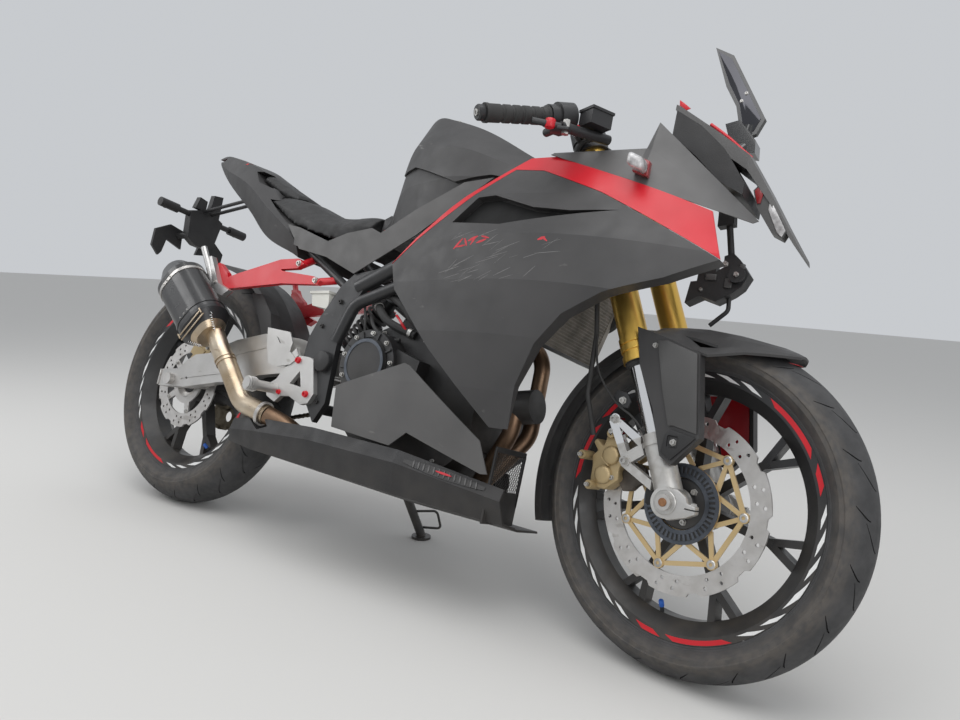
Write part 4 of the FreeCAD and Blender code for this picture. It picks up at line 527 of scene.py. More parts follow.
def bolt_head(sides=6, socket=0.42):
    """A flanged bolt head of unit radius and height along +Z, its socket sunk into the top."""
    deselect()
    bpy.ops.mesh.primitive_cylinder_add(vertices=sides, radius=0.8, depth=1)
    head = bpy.context.object
    head.data.transform(Matrix.Translation((0, 0, 0.5)))
    pick(head, lambda face: face.normal.z > 0.9)
    bpy.ops.mesh.inset(thickness=0.1)
    bpy.ops.mesh.extrude_region_move(TRANSFORM_OT_translate={"value": (0, 0, 0.08)})
    bpy.ops.mesh.inset(thickness=0.68 - socket)
    bpy.ops.mesh.extrude_region_move(TRANSFORM_OT_translate={"value": (0, 0, -0.5)})
    pick(head, lambda face: face.normal.z < -0.9)
    bpy.ops.mesh.extrude_region_move(TRANSFORM_OT_translate={"value": (0, 0, 0)})
    bpy.ops.transform.resize(value=(1.25, 1.25, 1), center_override=(0, 0, 0))
    bpy.ops.mesh.extrude_region_move(TRANSFORM_OT_translate={"value": (0, 0, -0.2)})
    bpy.ops.object.mode_set(mode="OBJECT")
    head.data.transform(Matrix.Translation((0, 0, 0.2)))
    return head


def seated(node, turn, x, z, side):
    """Where a line across the machine first meets a carried-over piece, and how the face there lies."""
    piece = frame["nodes"][node]
    inside = piece.matrix_world.inverted() @ turn
    aim = (inside.to_3x3() @ Vector((0, -side, 0))).normalized()
    hit, spot, normal, face = piece.ray_cast(inside @ Vector((x, side * 420, z)), aim)
    if not hit:
        raise ValueError("nothing of %s at %.0f, %.0f" % (node, x, z))
    return inside.inverted() @ spot, (inside.inverted().to_3x3() @ normal).normalized()


def upright(spot, radius, height):
    """The place of a unit bolt head that looks up."""
    return Matrix.Translation(spot) @ Matrix.Diagonal((radius, radius, height, 1))


def sideways(spot, radius, height, side=-1):
    """The place of a unit bolt head that looks to one side of the machine."""
    turn = Matrix.Rotation(math.radians(-90 * side), 4, "X")
    return Matrix.Translation(spot) @ turn @ Matrix.Diagonal((radius, radius, height, 1))


def along_axis(spot, axis, radius, height):
    """The place of a unit bolt head that looks along an axis."""
    turn = axis.to_track_quat("Z", "Y").to_matrix().to_4x4()
    return Matrix.Translation(spot) @ turn @ Matrix.Diagonal((radius, radius, height, 1))


def bolts(name, body, rows, finish, side=-1, sides=6):
    """One bolt for each row of carried-over node, X, Z, radius and height."""
    places = []
    for node, x, z, radius, height in rows:
        spot, normal = seated(node, BODY_TURNS[body], x, z, side)
        places.append(along_axis(spot - normal * 0.4, normal, radius, height))
    settle(copies(bolt_head(sides), places), name, body, finish)


bolts("caliper_bolts", "fork", [
    ("fork_leg_right", 1264, 414, 8.5, 7), ("fork_leg_right", 1296, 346, 8.5, 7),
    ("front_brake_caliper", 1258, 392, 6.5, 5), ("front_brake_caliper", 1208, 342, 4.6, 4),
    ("front_brake_caliper", 1232, 292, 4.6, 4), ("front_brake_caliper", 1270, 312, 5, 4)], bolt_steel)
bolts("fender_bolts", "fork", [
    ("front_fender", 1391, 391, 6, 4), ("front_fender", 1330, 548, 5, 3.5)], bolt_steel)


# Front hub
# A dark slotted speed ring and hub flange sit inside the gold carrier; hollow ring bobbins float the
# disc; the steel axle ends in a rusty thread inside its nut.
def plate(outline, low, high, bevel=0.6):
    """A flat piece of an X, Z outline between two distances across the machine, its edges broken."""
    deselect()
    bpy.ops.mesh.primitive_circle_add(vertices=len(outline), radius=1, fill_type="NGON")
    piece = bpy.context.object
    for vertex, (x, z) in zip(piece.data.vertices, outline):
        vertex.co = (x, low, z)
    edit_all(piece)
    bpy.ops.mesh.extrude_region_move(TRANSFORM_OT_translate={"value": (0, high - low, 0)})
    bpy.ops.mesh.select_all(action="SELECT")
    bpy.ops.mesh.normals_make_consistent(inside=False)
    if bevel:
        bpy.ops.mesh.bevel(offset=bevel, segments=2, affect="EDGES")
    bpy.ops.object.mode_set(mode="OBJECT")
    return piece


speed_steel = surface("dark_speed_ring", (0.07, 0.08, 0.095), (0.12, 0.13, 0.15), patch=40, rough=(0.35, 0.5),
                      metal=0.7)
rust = surface("rusty_steel", (0.16, 0.07, 0.03), (0.34, 0.17, 0.08), patch=80, rough=(0.6, 0.8), depth=0.5,
               metal=0.3)
SLOTS, BOBBINS, BOBBIN_R = 44, 7, 109
ring_bands = [turned([(low, -60.6), (high, -60.6), (high, -59), (low, -59)], FRONT_AXLE, 96)
              for low, high in ((44, 51), (62, 68))]
tooth = plate([(50, -1.9), (63, -2.3), (63, 2.3), (50, 1.9)], -60.6, -59, 0.2)
tooth.data.transform(Matrix.Translation((FRONT_AXLE.x, 0, FRONT_AXLE.z)))
ring_bands.append(copies(tooth, [about_y(FRONT_AXLE, 360 / SLOTS * k) for k in range(SLOTS)]))
settle(joined(ring_bands), "speed_ring", "front_wheel", speed_steel)
hub_bolt = bolt_head()
hub_bolt.data.transform(sideways(FRONT_AXLE + Vector((31, -58, 0)), 6, 5))
settle(copies(hub_bolt, [about_y(FRONT_AXLE, a) for a in (-48, 72, 192)]), "hub_bolts", "front_wheel", bolt_steel)
bobbin = turned([(3.2, -58.4), (6.2, -58.4), (7.6, -57.4), (7.6, -56.8), (3.2, -56.8)],
                FRONT_AXLE + Vector((BOBBIN_R, 0, 0)), 24)
settle(copies(bobbin, [about_y(FRONT_AXLE, 360 / BOBBINS * k) for k in range(BOBBINS)]), "bobbin_rings",
       "front_wheel", bolt_steel)
for name, body, finish, steps, profile in (
        ("speed_ring_back", "front_wheel", black_metal, 96, [(44, -59.1), (68, -59.1), (68, -58.3), (44, -58.3)]),
        ("hub_flange", "front_wheel", black_metal, 64,
         [(14, -52), (43, -54.5), (43, -57), (38, -58.5), (24, -58), (20, -66), (14, -66)]),
        ("axle_thread", "fork", rust, 32, [(0, -127), (6, -127), (7, -126), (7, -124), (0, -124)]),
        ("axle_washer", "fork", bolt_steel, 48,
         [(12.4, -118.6), (19, -118.6), (20, -117.6), (20, -116.2), (12.4, -116.2)])):
    settle(turned(profile, FRONT_AXLE, steps), name, body, finish)


# Tyre valves
# Each rubber valve stands bent out of the rim's well and wears a turned blue cap.
def lathe(profile, start, axis, steps=32):
    """A closed outline of (radius, distance) corners spun about an axis from its start."""
    piece = turned(profile, Vector((0, 0, 0)), steps)
    aim = Vector((0, 1, 0)).rotation_difference(Vector(axis)).to_matrix().to_4x4()
    piece.data.transform(Matrix.Translation(start) @ aim)
    return piece


def tube(points, radius):
    """A hose, pipe or wire along a smooth path, closed at both ends."""
    curve = bpy.data.curves.new("path", "CURVE")
    curve.dimensions = "3D"
    curve.bevel_depth = radius
    curve.bevel_resolution = 3
    curve.use_fill_caps = True
    run = curve.splines.new("NURBS")
    run.points.add(len(points) - 1)
    for point, spot in zip(run.points, points):
        point.co = (*spot, 1)
    run.order_u = 3
    run.use_endpoint_u = True
    run.resolution_u = 6
    piece = bpy.data.objects.new("path", curve)
    bpy.context.collection.objects.link(piece)
    only(piece)
    bpy.ops.object.convert(target="MESH")
    return bpy.context.object


for wheel, centre, at in (("front_wheel", FRONT_AXLE, -97), ("rear_wheel", REAR_AXLE, -60)):
    reach = Vector((math.cos(math.radians(at)), 0, math.sin(math.radians(at))))
    stem = [centre + reach * distance + Vector((0, y, 0)) for distance, y in ((206, -6), (194, -10), (180, -22))]
    settle(tube(stem, 3.6), wheel + "_valve", wheel, rubber)
    settle(lathe([(0, -2), (4.6, -2), (4.6, 9), (3.4, 11), (0, 11)], stem[2],
                 (stem[2] - stem[1]).normalized(), 20), wheel + "_valve_cap", wheel,
           surface(wheel + "_cap_blue", (0.02, 0.10, 0.42), (0.03, 0.14, 0.55)))

# Fork trim
# Rubber dust seals close the gold tubes over the chrome legs; screwed caps with a hexagon adjuster
# close their tops.
SIDES = ((-1, "right"), (1, "left"))
FORK_TUBE_LOW, FORK_TUBE_TOP, FORK_Y = 250, 740, 92
for hand, ending in SIDES:
    foot = FRONT_AXLE + Vector((0, hand * FORK_Y, 0))
    tube_top = foot + fork_up * FORK_TUBE_TOP
    settle(lathe([(18.7, -9), (22, -9), (25, -5), (25, -3.5), (23.5, -2.5), (25.5, -1), (25.5, 0.2),
                  (18.7, 0.2)], foot + fork_up * FORK_TUBE_LOW, fork_up, 40), "dust_seal_" + ending, "fork",
           rubber)
    settle(joined([lathe([(0, -1), (24, -1), (24, 3), (21, 5), (12, 5), (12, 8), (0, 8)],
                         tube_top, fork_up, 40),
                   lathe([(0, 7), (8, 7), (8, 14), (6.5, 15), (0, 15)], tube_top, fork_up, 6)]),
           "fork_cap_" + ending, "fork", black_metal)

# Grips
# Ribbed black rubber grips with a flange at the switch end are pushed on the bars; the bar weight at
# the outer end has a bright bolt in its middle.
GRIP_IN, GRIP_OUT = Vector((1085, -222, 941)), Vector((1036, -338, 905))
RIB_PITCH = 20
grip_dir, grip_long = (GRIP_OUT - GRIP_IN).normalized(), (GRIP_OUT - GRIP_IN).length
grip_side = [(11.2, 0.2), (19.6, 0.2), (19.8, 4), (17, 6.5)]
for at in (12 + RIB_PITCH * k for k in range(5)):
    grip_side += [(16.6, at), (16, at + 1), (14.6, at + 2.2), (14.6, at + 6.2), (16, at + 7.4), (16.6, at + 8.4)]
grip_side += [(16.6, grip_long - 9), (17.8, grip_long - 6), (17.8, grip_long - 0.5), (14, grip_long),
              (11.2, grip_long)]
for hand, ending in SIDES:
    mirror = Matrix.Diagonal((1, -hand, 1, 1))
    start, axis = mirror @ GRIP_IN, mirror.to_3x3() @ grip_dir
    settle(lathe(grip_side, start, axis, 40), "ribbed_grip_" + ending, "fork", rubber, ["grip_" + ending], 30)
    end = start + axis * (grip_long + 0.3)
    settle(lathe([(0, -0.2), (13.5, -0.2), (14.5, 2), (14.5, 11), (12.5, 13.5), (7, 13.5), (7, 12),
                  (0, 12)], end, axis, 36), "bar_weight_" + ending, "fork", black_metal)
    head = bolt_head(24, 0.4)
    head.data.transform(along_axis(end + axis * 11.4, axis, 8, 3.5))
    settle(head, "bar_weight_bolt_" + ending, "fork", bolt_steel)


# Front brake lever perch, fluid box and cables
# The lever has snapped off at its stub; its red span adjuster and pivot bolt are left. The fluid box
# has a screwed lid. Throttle and switch cables run beside it to the yoke.
def block(centre, size, bevel, turn=Matrix.Identity(4)):
    """A box with rounded edges."""
    deselect()
    bpy.ops.mesh.primitive_cube_add(size=1)
    piece = bpy.context.object
    piece.data.transform(Matrix.Diagonal((*size, 1)))
    edit_all(piece)
    bpy.ops.mesh.bevel(offset=bevel, segments=3, affect="EDGES")
    bpy.ops.object.mode_set(mode="OBJECT")
    piece.data.transform(Matrix.Translation(centre) @ turn)
    return piece


box_turn = Matrix.Rotation(math.radians(-20), 4, "Z")
box_place = Matrix.Translation((1153, -164, 948)) @ box_turn
settle(copies(bolt_head(20, 0.35), [
    box_place @ upright((x, y, 17.8), 3.2, 1.6) for x, y in ((-17, -20), (17, 20))]),
       "fluid_box_screws", "fork", bolt_steel)
lid_rib = block((0, 0, 0), (34, 2.4, 1.6), 0.5)
settle(copies(lid_rib, [box_place @ Matrix.Translation((0, y, 18.2)) for y in (-12, -4, 4, 12)]),
       "fluid_box_lid_ribs", "fork", black_metal)
settle(lathe([(0, -0.5), (6.5, -0.5), (6.5, 0.6), (5.4, 1.4), (0, 1)], box_place @ Vector((-20.4, -6, -2)),
             box_turn.to_3x3() @ Vector((-1, 0, 0)), 28), "fluid_sight_glass", "fork", dark_lens)
settle(lathe([(0, -8), (8.5, -8), (9.5, -6), (9.5, 6), (8.5, 8), (0, 8)], (1118, -250, 912),
             (0, 0, 1), 28), "lever_adjuster", "fork", bracket_red)
settle(lathe([(0, -13), (7, -13), (7, 13), (5.5, 14.5), (0, 14.5)], (1136, -226, 912),
             (0, 0, 1), 6), "lever_pivot_bolt", "fork", bolt_steel)
perch = plate([(1104, 0), (1112, -16), (1142, -10), (1150, 8), (1132, 18), (1112, 14)],
              -3, 3, 1)
perch.data.transform(Matrix.Translation((0, -228, 906)) @ Matrix.Rotation(math.radians(90), 4, "X"))
settle(perch, "lever_perch", "fork", black_metal)


def hoses(name, body, rows):
    """One numbered hose or cable for each row of radius, finish and points."""
    for k, (radius, finish, points) in enumerate(rows):
        settle(tube(points, radius), "%s_%d" % (name, k + 1), body, finish)


hoses("bar_cable", "fork", [
    (3.2, rubber, [(1094, -198, 940), (1100, -176, 937), (1100, -150, 934), (1094, -122, 928), (1082, -96, 918)]),
    (3.2, rubber, [(1096, -204, 934), (1106, -180, 931), (1107, -152, 929), (1100, -124, 922), (1087, -98, 911)]),
    (2.2, rubber, [(1090, -190, 944), (1095, -170, 943), (1095, -146, 940), (1090, -120, 934), (1079, -96, 924)]),
    (2.6, bracket_red, [(1128, -182, 934), (1136, -186, 928), (1142, -182, 920)])])


def coil(start, end, first, second, radius, turns, steps):
    """Points of a helix between two ends, its circles lying in the plane of two directions."""
    points = []
    for k in range(steps + 1):
        a = math.tau * turns * k / steps
        points.append(start.lerp(end, k / steps) + (first * math.cos(a) + second * math.sin(a)) * radius)
    return points


settle(tube(coil(Vector((1105, -186, 931.5)), Vector((1107, -156, 929)), Vector((0, 0, 1)),
                 Vector((0.79, -0.61, 0)), 4.6, 6, 48), 0.8), "cable_spring", "fork", chrome)


# Fork legs, foot clamp and caliper
# The legs are chromed down to the cast aluminium foot, which clamps the axle with two pinch bolts. The
# gold two-piston caliper bolts to the foot's arms, with its dark pad carrier and speed sensor beside it.
def leg_finish(name):
    """Chrome above the foot's top ring, bare cast aluminium below."""
    material, tree, shader = new_finish(name)
    parts = seen_from(tree, STEERED @ Matrix.Translation(FRONT_AXLE) @ Matrix.Rotation(-CASTER, 4, "Y"))[1]
    coords = tree.nodes.new("ShaderNodeTexCoord").outputs["Object"]
    chromed = spread(tree, parts["Z"], 0.1185, 0.1195, 0, 1)
    grime = spread(tree, noise(tree, coords, 45, 5), 0.45, 0.7, 0, 0.6)
    cast = blend(tree, grime, (0.56, 0.55, 0.53), (0.34, 0.32, 0.29))
    tree.links.new(blend(tree, chromed, cast, (0.84, 0.84, 0.84)), shader["Base Color"])
    tree.links.new(spread(tree, chromed, 0, 1, 0.45, 0.1), shader["Roughness"])
    tree.links.new(spread(tree, chromed, 0, 1, 0.7, 1), shader["Metallic"])
    grained(tree, noise(tree, coords, 450, 2), spread(tree, chromed, 0, 1, 0.35, 0.02), 0.0006)
    return material


leg_material = leg_finish("chrome_leg_and_cast_foot")
for hand, ending in SIDES:
    frame["nodes"]["fork_leg_" + ending].material_slots[0].material = leg_material
    clamp = plate([(1374, 312), (1388, 318), (1408, 318), (1424, 309), (1428, 299),
                   (1443, 297), (1444, 284), (1430, 276), (1398, 265), (1385, 270),
                   (1372, 284)], *sorted((hand * 100, hand * 116.5)), 2.5)
    cut(clamp, block((1436, hand * 108, 290), (22, 24, 2.4), 0.4))
    cut(clamp, lathe([(0, -20), (20.6, -20), (20.6, 20), (0, 20)],
                     FRONT_AXLE + Vector((0, hand * 108, 0)), (0, 1, 0), 40))
    settle(clamp, "axle_clamp_" + ending, "fork", cast_silver)
    settle(lathe([(0, 0), (5.5, 0), (5.5, 4), (3, 5), (3, 3), (0, 3)],
                 (1436, hand * 108, 296.5), (0, 0, 1), 6), "pinch_bolt_" + ending, "fork", bolt_steel)
caliper = plate([(1226, 376), (1243, 364), (1248, 390), (1254, 396), (1265, 396), (1272, 370),
                 (1284, 354), (1285, 336), (1280, 325), (1284, 310), (1274, 302),
                 (1258, 288), (1231, 290), (1226, 302), (1226, 326), (1222, 344),
                 (1232, 354), (1220, 368)], -92, -37, 4)
cut(caliper, turned([(90, -60), (159, -60), (159, -45), (90, -45)], FRONT_AXLE, 64))
cut(caliper, turned([(60, -48), (190, -48), (190, -30), (60, -30)], FRONT_AXLE, 64))
PISTON_R = 17
pistons = [turned([(0, -101), (PISTON_R - 6, -101), (PISTON_R - 1.5, -98.5), (PISTON_R, -95),
                   (PISTON_R, -90), (0, -90)], Vector((x, 0, z)), 36) for x, z in ((1263, 350), (1253, 314))]
pins = [turned([(3.2, start), (7.5, start), (8.5, start + rim), (8.5, -70), (3.2, -70)], Vector((x, 0, z)), 24)
        for x, z, start, rim in ((1208, 342, -104, 2), (1232, 292, -104, 2), (1257, 388, -98, 1.5))]
rib = plate([(1246, 346), (1262, 334), (1264, 330), (1244, 341)], -99, -91, 0.8)
settle(joined([caliper, *pistons, *pins, rib]), "two_piston_caliper", "fork", caliper_gold,
       ["front_brake_caliper"], 40)
settle(plate([(1278, 336), (1300, 346), (1322, 338), (1330, 318), (1312, 306), (1304, 296),
              (1286, 292), (1276, 306)], -76, -60.5, 2), "pad_carrier", "fork",
       surface("dark_pad_carrier", (0.045, 0.036, 0.03), (0.10, 0.085, 0.07), patch=40, rough=(0.5, 0.75),
               depth=0.4, soil=DUST))
settle(joined([plate([(1330, 314), (1352, 306), (1350, 280), (1332, 280)], -76, -64, 3),
               lathe([(0, 0), (7, 0), (7, 16), (5, 18), (0, 18)], (1340, -78, 300),
                     (0, 1, 0), 24)]), "speed_sensor", "fork", bare_plastic)
settle(plate([(1263, 466), (1284, 462), (1294, 448), (1290, 436), (1270, 436), (1258, 450)],
             -112, -108, 1.2), "hose_bracket", "fork", black_metal)
settle(copies(bolt_head(), [sideways((1279, -111.8, 448), 7, 5)]), "hose_bracket_bolt", "fork", bolt_steel)
settle(tube([(1208, -119, 560), (1212, -118, 510), (1236, -114, 470), (1272, -112, 436), (1300, -108, 424),
             (1330, -100, 392), (1340, -86, 350), (1340, -72, 318)], 2), "sensor_cable", "fork", rubber)

# Front fender panels
# The outer guard has a raised main face, a dark rebate round its fixing bolt and a red inner side; the
# blade's red underside shows at its tip.
TIP_START, TIP_LONG = 1452, 81
for hand, ending in SIDES:
    near, far = sorted((hand * 124, hand * 128))
    settle(plate([(1334, 556), (1352, 558), (1409, 540), (1430, 410), (1386, 418),
                  (1378, 416), (1356, 478)], near, far, 1.6), "guard_face_" + ending, "fork", guard_paint)
    rebate = plate([(1430, 404), (1386, 412), (1376, 402), (1372, 372), (1391, 361)], near, far, 1.6)
    cut(rebate, block((1391, hand * 128, 392), (20, 8, 20), 3))
    settle(rebate, "guard_rebate_" + ending, "fork", bare_plastic)
    settle(plate([(1308, 518), (1344, 552), (1400, 530), (1420, 408), (1392, 366),
                  (1374, 374), (1350, 444)], *sorted((hand * 119.6, hand * 118.2)), 0.3),
           "guard_lining_" + ending, "fork", red_plastic)
tip = plate([(TIP_START, 0), (1530, 0), (1533, 1.4), (TIP_START, 1.4)], -34, 34, 0.3)
deselect()
for vertex in tip.data.vertices:
    x, y, z = vertex.co
    share = (x - TIP_START) / TIP_LONG
    vertex.co = (x, y * (1.55 - 1.3 * share), 567.5 - 9 * share * share + z - abs(y) * 0.22)
settle(tip, "fender_tip_lining", "fork", red_plastic)

# Radiator core
# Flat aluminium tubes run across the core between the end tanks, with a folded frame at top and bottom.
rad_turn = Matrix.Translation((1080, 0, 602)) @ Matrix.Rotation(math.radians(14), 4, "Y")
for name, size, bevel, finish, spots in (
        ("radiator_tubes", (2.4, 218, 2.2), 0.7, core_brown, [(15.6, 0, -74 + 6.4 * k) for k in range(24)]),
        ("radiator_fins", (1, 0.7, 150), 0.2, core_brown, [(15.2, -106 + 4.4 * k, 0) for k in range(49)]),
        ("radiator_rails", (6, 246, 7), 1.5, black_metal, [(15, 0, z) for z in (-77, 77)])):
    settle(copies(block((0, 0, 0), size, bevel), [rad_turn @ Matrix.Translation(spot) for spot in spots]), name,
           "chassis", finish)
settle(joined([tube([(1096, 116, 664), (1110, 128, 650), (1100, 132, 620), (1050, 128, 600), (990, 100, 610),
                     (946, 70, 640)], 13),
               tube([(1064, -116, 536), (1072, -124, 520), (1052, -126, 500), (1004, -112, 470), (960, -96, 450)],
                    13)]), "coolant_hoses", "chassis", rubber)


# Engine trim
# Cover bolts, the cylinder's cast fins, rubber coolant and breather hoses with their clamps, and wiring
# fill the gap between the frame and the fairing.
def ring_rows(node, x, z, reach, angles, radius, height):
    """Rows for bolts that stand on a circle."""
    return [(node, x + reach * math.cos(math.radians(a)), z + reach * math.sin(math.radians(a)), radius, height)
            for a in angles]


bolts("clutch_cover_bolts", "chassis", ring_rows("clutch_cover", 700, 428, 66.5, range(8, 368, 40), 5, 4.5),
      bolt_steel, sides=24)
settle(turned([(53, -167.2), (46, -167.2), (46, -165.4), (53, -165.4)], Vector((700, 0, 428)), 64),
       "clutch_cover_ring", "chassis", speed_steel)
bolts("generator_cover_bolts", "chassis",
      ring_rows("generator_cover", 760, 396, 58, range(20, 380, 45), 5, 4.5), bolt_steel, 1, 24)
case_rows = [("engine_block", x, z, 4.6, 4) for x, z in (
    (690, 506), (806, 500), (862, 470), (930, 410), (952, 330), (890, 262))]
bolts("case_bolts", "chassis", [("engine_block", 640, 478, 4.6, 4), *case_rows], bolt_steel, -1, 24)
bolts("case_bolts_left", "chassis", [*case_rows, ("engine_block", 700, 300, 4.6, 4)], bolt_steel, 1, 24)
hoses("engine_hose", "chassis", [
    (9, rubber, [(648, -104, 566), (672, -122, 552), (700, -126, 530), (740, -122, 516), (776, -112, 508)]),
    (7, rubber, [(664, -100, 590), (700, -120, 584), (744, -124, 560), (768, -118, 530), (786, -104, 520)]),
    (4, rubber, [(640, -112, 540), (664, -130, 520), (690, -132, 500), (716, -128, 488), (748, -124, 492)]),
    (3, red_plastic, [(716, -116, 546), (736, -126, 536), (752, -126, 520), (764, -118, 508)]),
    (3, rubber, [(620, -118, 560), (644, -132, 530), (652, -134, 500), (660, -128, 470)]),
    (12, rubber, [(796, -90, 600), (812, -108, 580), (836, -110, 552), (860, -104, 520)]),
    (5, rubber, [(800, 92, 640), (830, 112, 600), (850, 116, 560), (840, 112, 516)]),
    (10, rubber, [(770, 96, 560), (800, 118, 540), (850, 120, 520), (900, 112, 470)])])
clamp_band = [(9.2, -4), (10.6, -4), (10.6, 4), (9.2, 4)]
settle(joined([lathe(clamp_band, (655, -109, 562), (0.75, -0.55, -0.35), 32),
               lathe(clamp_band, (764, -115, 511), (0.95, 0.25, -0.2), 32)]), "hose_clamps", "chassis",
       bolt_steel)
for x, z in ((846, 560), (860, 590), (874, 618)):
    settle(plate([(x - 60, z - 6), (x + 66, z - 40), (x + 66, z - 36), (x - 60, z - 2)], -101, 101,
                 0.8), "cylinder_fin_%d" % x, "chassis", engine_paint)

# Chain and sprocket
# An oily roller chain of plates and rollers runs round both sprockets on the left, in place of the plain
# band; the rear sprocket has its teeth and nuts.
CHAIN_Y, PITCH, TEETH = 78, 15.875, 41
FRONT_SPROCKET = Vector((618, 0, 420))
BIG_R, SMALL_R = 104, 39.5
run = FRONT_SPROCKET - REAR_AXLE
tilt = math.atan2(run.z, run.x)
opening = math.acos((BIG_R - SMALL_R) / run.length)
upper, lower = tilt + opening, tilt - opening
straight = math.sqrt(run.length ** 2 - (BIG_R - SMALL_R) ** 2)
back_arc, front_arc = BIG_R * (math.tau - 2 * opening), SMALL_R * 2 * opening
loop = 2 * straight + back_arc + front_arc
LINKS = 2 * round(loop / PITCH / 2)


def on_circle(centre, radius, angle):
    return centre + Vector((math.cos(angle), 0, math.sin(angle))) * radius


def chain_spot(travel):
    """A point on the chain's pitch line, going from the top run over the front sprocket and back."""
    travel %= loop
    share = travel / straight
    if share < 1:
        return on_circle(REAR_AXLE, BIG_R, upper).lerp(on_circle(FRONT_SPROCKET, SMALL_R, upper), share)
    travel -= straight
    if travel < front_arc:
        return on_circle(FRONT_SPROCKET, SMALL_R, upper - travel / SMALL_R)
    travel -= front_arc
    share = travel / straight
    if share < 1:
        return on_circle(FRONT_SPROCKET, SMALL_R, lower).lerp(on_circle(REAR_AXLE, BIG_R, lower), share)
    return on_circle(REAR_AXLE, BIG_R, lower - (travel - straight) / BIG_R)


side_outline = [(x + 4.9 * math.cos(math.radians(a)), 4.9 * math.sin(math.radians(a)))
                for x, arc in ((PITCH, (-70, -35, 0, 35, 70)), (0, (110, 145, 180, 215, 250))) for a in arc]
side_outline[5:5] = [(PITCH / 2, 3.6)]
side_outline.append((PITCH / 2, -3.6))
outer_link, inner_link = (joined([plate(side_outline, CHAIN_Y + low, CHAIN_Y + low + 1.4, 0) for low in pair])
                          for pair in ((-7.4, 6), (-5.6, 4.2)))
roller = turned([(2.4, CHAIN_Y - 8.2), (2.4, CHAIN_Y - 4), (4.8, CHAIN_Y - 4), (4.8, CHAIN_Y + 4),
                 (2.4, CHAIN_Y + 4), (2.4, CHAIN_Y + 8.2), (0, CHAIN_Y + 8.2), (0, CHAIN_Y - 8.2)],
                Vector((0, 0, 0)), 12)
spots = [chain_spot(loop * k / LINKS) for k in range(LINKS)]
places = []
for k, spot in enumerate(spots):
    ahead_link = spots[(k + 1) % LINKS] - spot
    places.append(Matrix.Translation(spot) @ Matrix.Rotation(-math.atan2(ahead_link.z, ahead_link.x), 4, "Y"))
settle(joined([copies(outer_link, places[0::2]), copies(inner_link, places[1::2]), copies(roller, places)]),
       "roller_chain", "chassis", chain_steel, ["drive_chain"])
tooth = plate([(95, -5.4), (99.5, -4.6), (104.5, -1.6), (105.5, 0), (104.5, 1.6), (99.5, 4.6), (95, 5.4)],
              CHAIN_Y - 2.9, CHAIN_Y + 2.9, 0.3)
tooth.data.transform(Matrix.Translation(REAR_AXLE))
settle(copies(tooth, [about_y(REAR_AXLE, 360 / TEETH * k) for k in range(TEETH)]), "sprocket_teeth", "rear_wheel",
       chain_steel)
sprocket_nut = bolt_head(6, 0.3)
sprocket_nut.data.transform(sideways(REAR_AXLE + Vector((44, CHAIN_Y + 2.8, 0)), 7, 6, 1))
settle(copies(sprocket_nut, [about_y(REAR_AXLE, 36 + 72 * k) for k in range(5)]), "sprocket_nuts", "rear_wheel",
       bolt_steel)

# Swingarm, rear disc and footrest fixings
# Chain adjuster bolts close the arm ends; red-centred bolts hold the footrest plates and bright ones
# the disc, the caliper and the brackets.
black_bolt = surface("blackened_bolt", (0.02, 0.02, 0.021), (0.06, 0.058, 0.056), patch=60, rough=(0.35, 0.5),
                     metal=0.6, scuffs=(0.2, 0.18, 0.16), scuff_share=0.68)
PEG_RING = [(15.2, 0), (17, 1), (17, 3.4), (15.2, 4.4)]
for hand, ending in SIDES:
    arm_end = (-50, hand * 104, 311)
    settle(joined([lathe([(0, 0), (5.5, 0), (5.5, 12), (4.5, 13), (0, 13)], arm_end, (-1, 0, 0), 6),
                   lathe([(0, -2), (9, -2), (9, 5), (8, 6), (0, 6)], arm_end, (-1, 0, 0), 6)]),
           "chain_adjuster_" + ending, "chassis", bolt_steel)
    settle(plate([(-53, 290), (-53, 331), (-48, 331), (-48, 290)],
                 *sorted((hand * 87, hand * 119)), 1), "arm_end_plate_" + ending, "chassis", ground_steel)
    tail = "_left" if hand > 0 else ""
    bolts("rest_bolts" + tail, "chassis", [
        ("footrest_" + ending, 484, 413, 8, 5), ("footrest_" + ending, 532, 341, 8, 5),
        ("footrest_" + ending, 446, 334, 6, 4)], bracket_red, hand, 24)
    bolts("bracket_bolts" + tail, "chassis", [
        ("passenger_brackets", 404, 640, 7, 4.5), ("passenger_brackets", 472, 602, 7, 4.5),
        ("passenger_brackets", 134, 574, 6, 4)], bolt_steel, hand, 24)
    settle(lathe([(0, 0), (23.6, 0), (23.6, 1.5), (22, 4), (16, 6), (0, 6.6)],
                 (555, -141.6 if hand < 0 else 140, 420), (0, hand, 0), 48), "pivot_cap_" + ending, "chassis",
           bare_plastic)
    settle(joined([lathe(PEG_RING, (418, hand * (194 + 5.6 * k), 338), (-0.16, hand, 0), 28) for k in range(4)]),
           "peg_rings_" + ending, "chassis", cast_silver)
bolts("rear_disc_bolts", "rear_wheel", ring_rows("rear_brake_disc", 0, 311, 80, range(0, 360, 72), 6, 4),
      bolt_steel)
bolts("frame_bolts", "chassis", [
    ("main_frame", 560, 560, 7, 5), ("main_frame", 520, 500, 6, 4),
    ("main_frame", 560, 330, 6, 4)], black_bolt)
bolts("rear_caliper_bolts", "chassis", [
    ("rear_brake_caliper", 30, 420, 5.5, 4), ("rear_brake_caliper", 76, 410, 5.5, 4)], bolt_steel)

# Exhaust trim
# Two tension springs hooked into a flange hold the pipe in the can's black end cap; two riveted steel
# bands go round the can, and a ring closes its outlet. The folded pegs are bare metal.
m_start = Vector((201, -184, 436))
m_dir = (Vector((-36, -190, 618)) - m_start).normalized()
m_side = m_dir.cross(Vector((0, 1, 0))).normalized()
m_out = m_dir.cross(m_side).normalized()
outward = m_out if m_out.y < 0 else -m_out


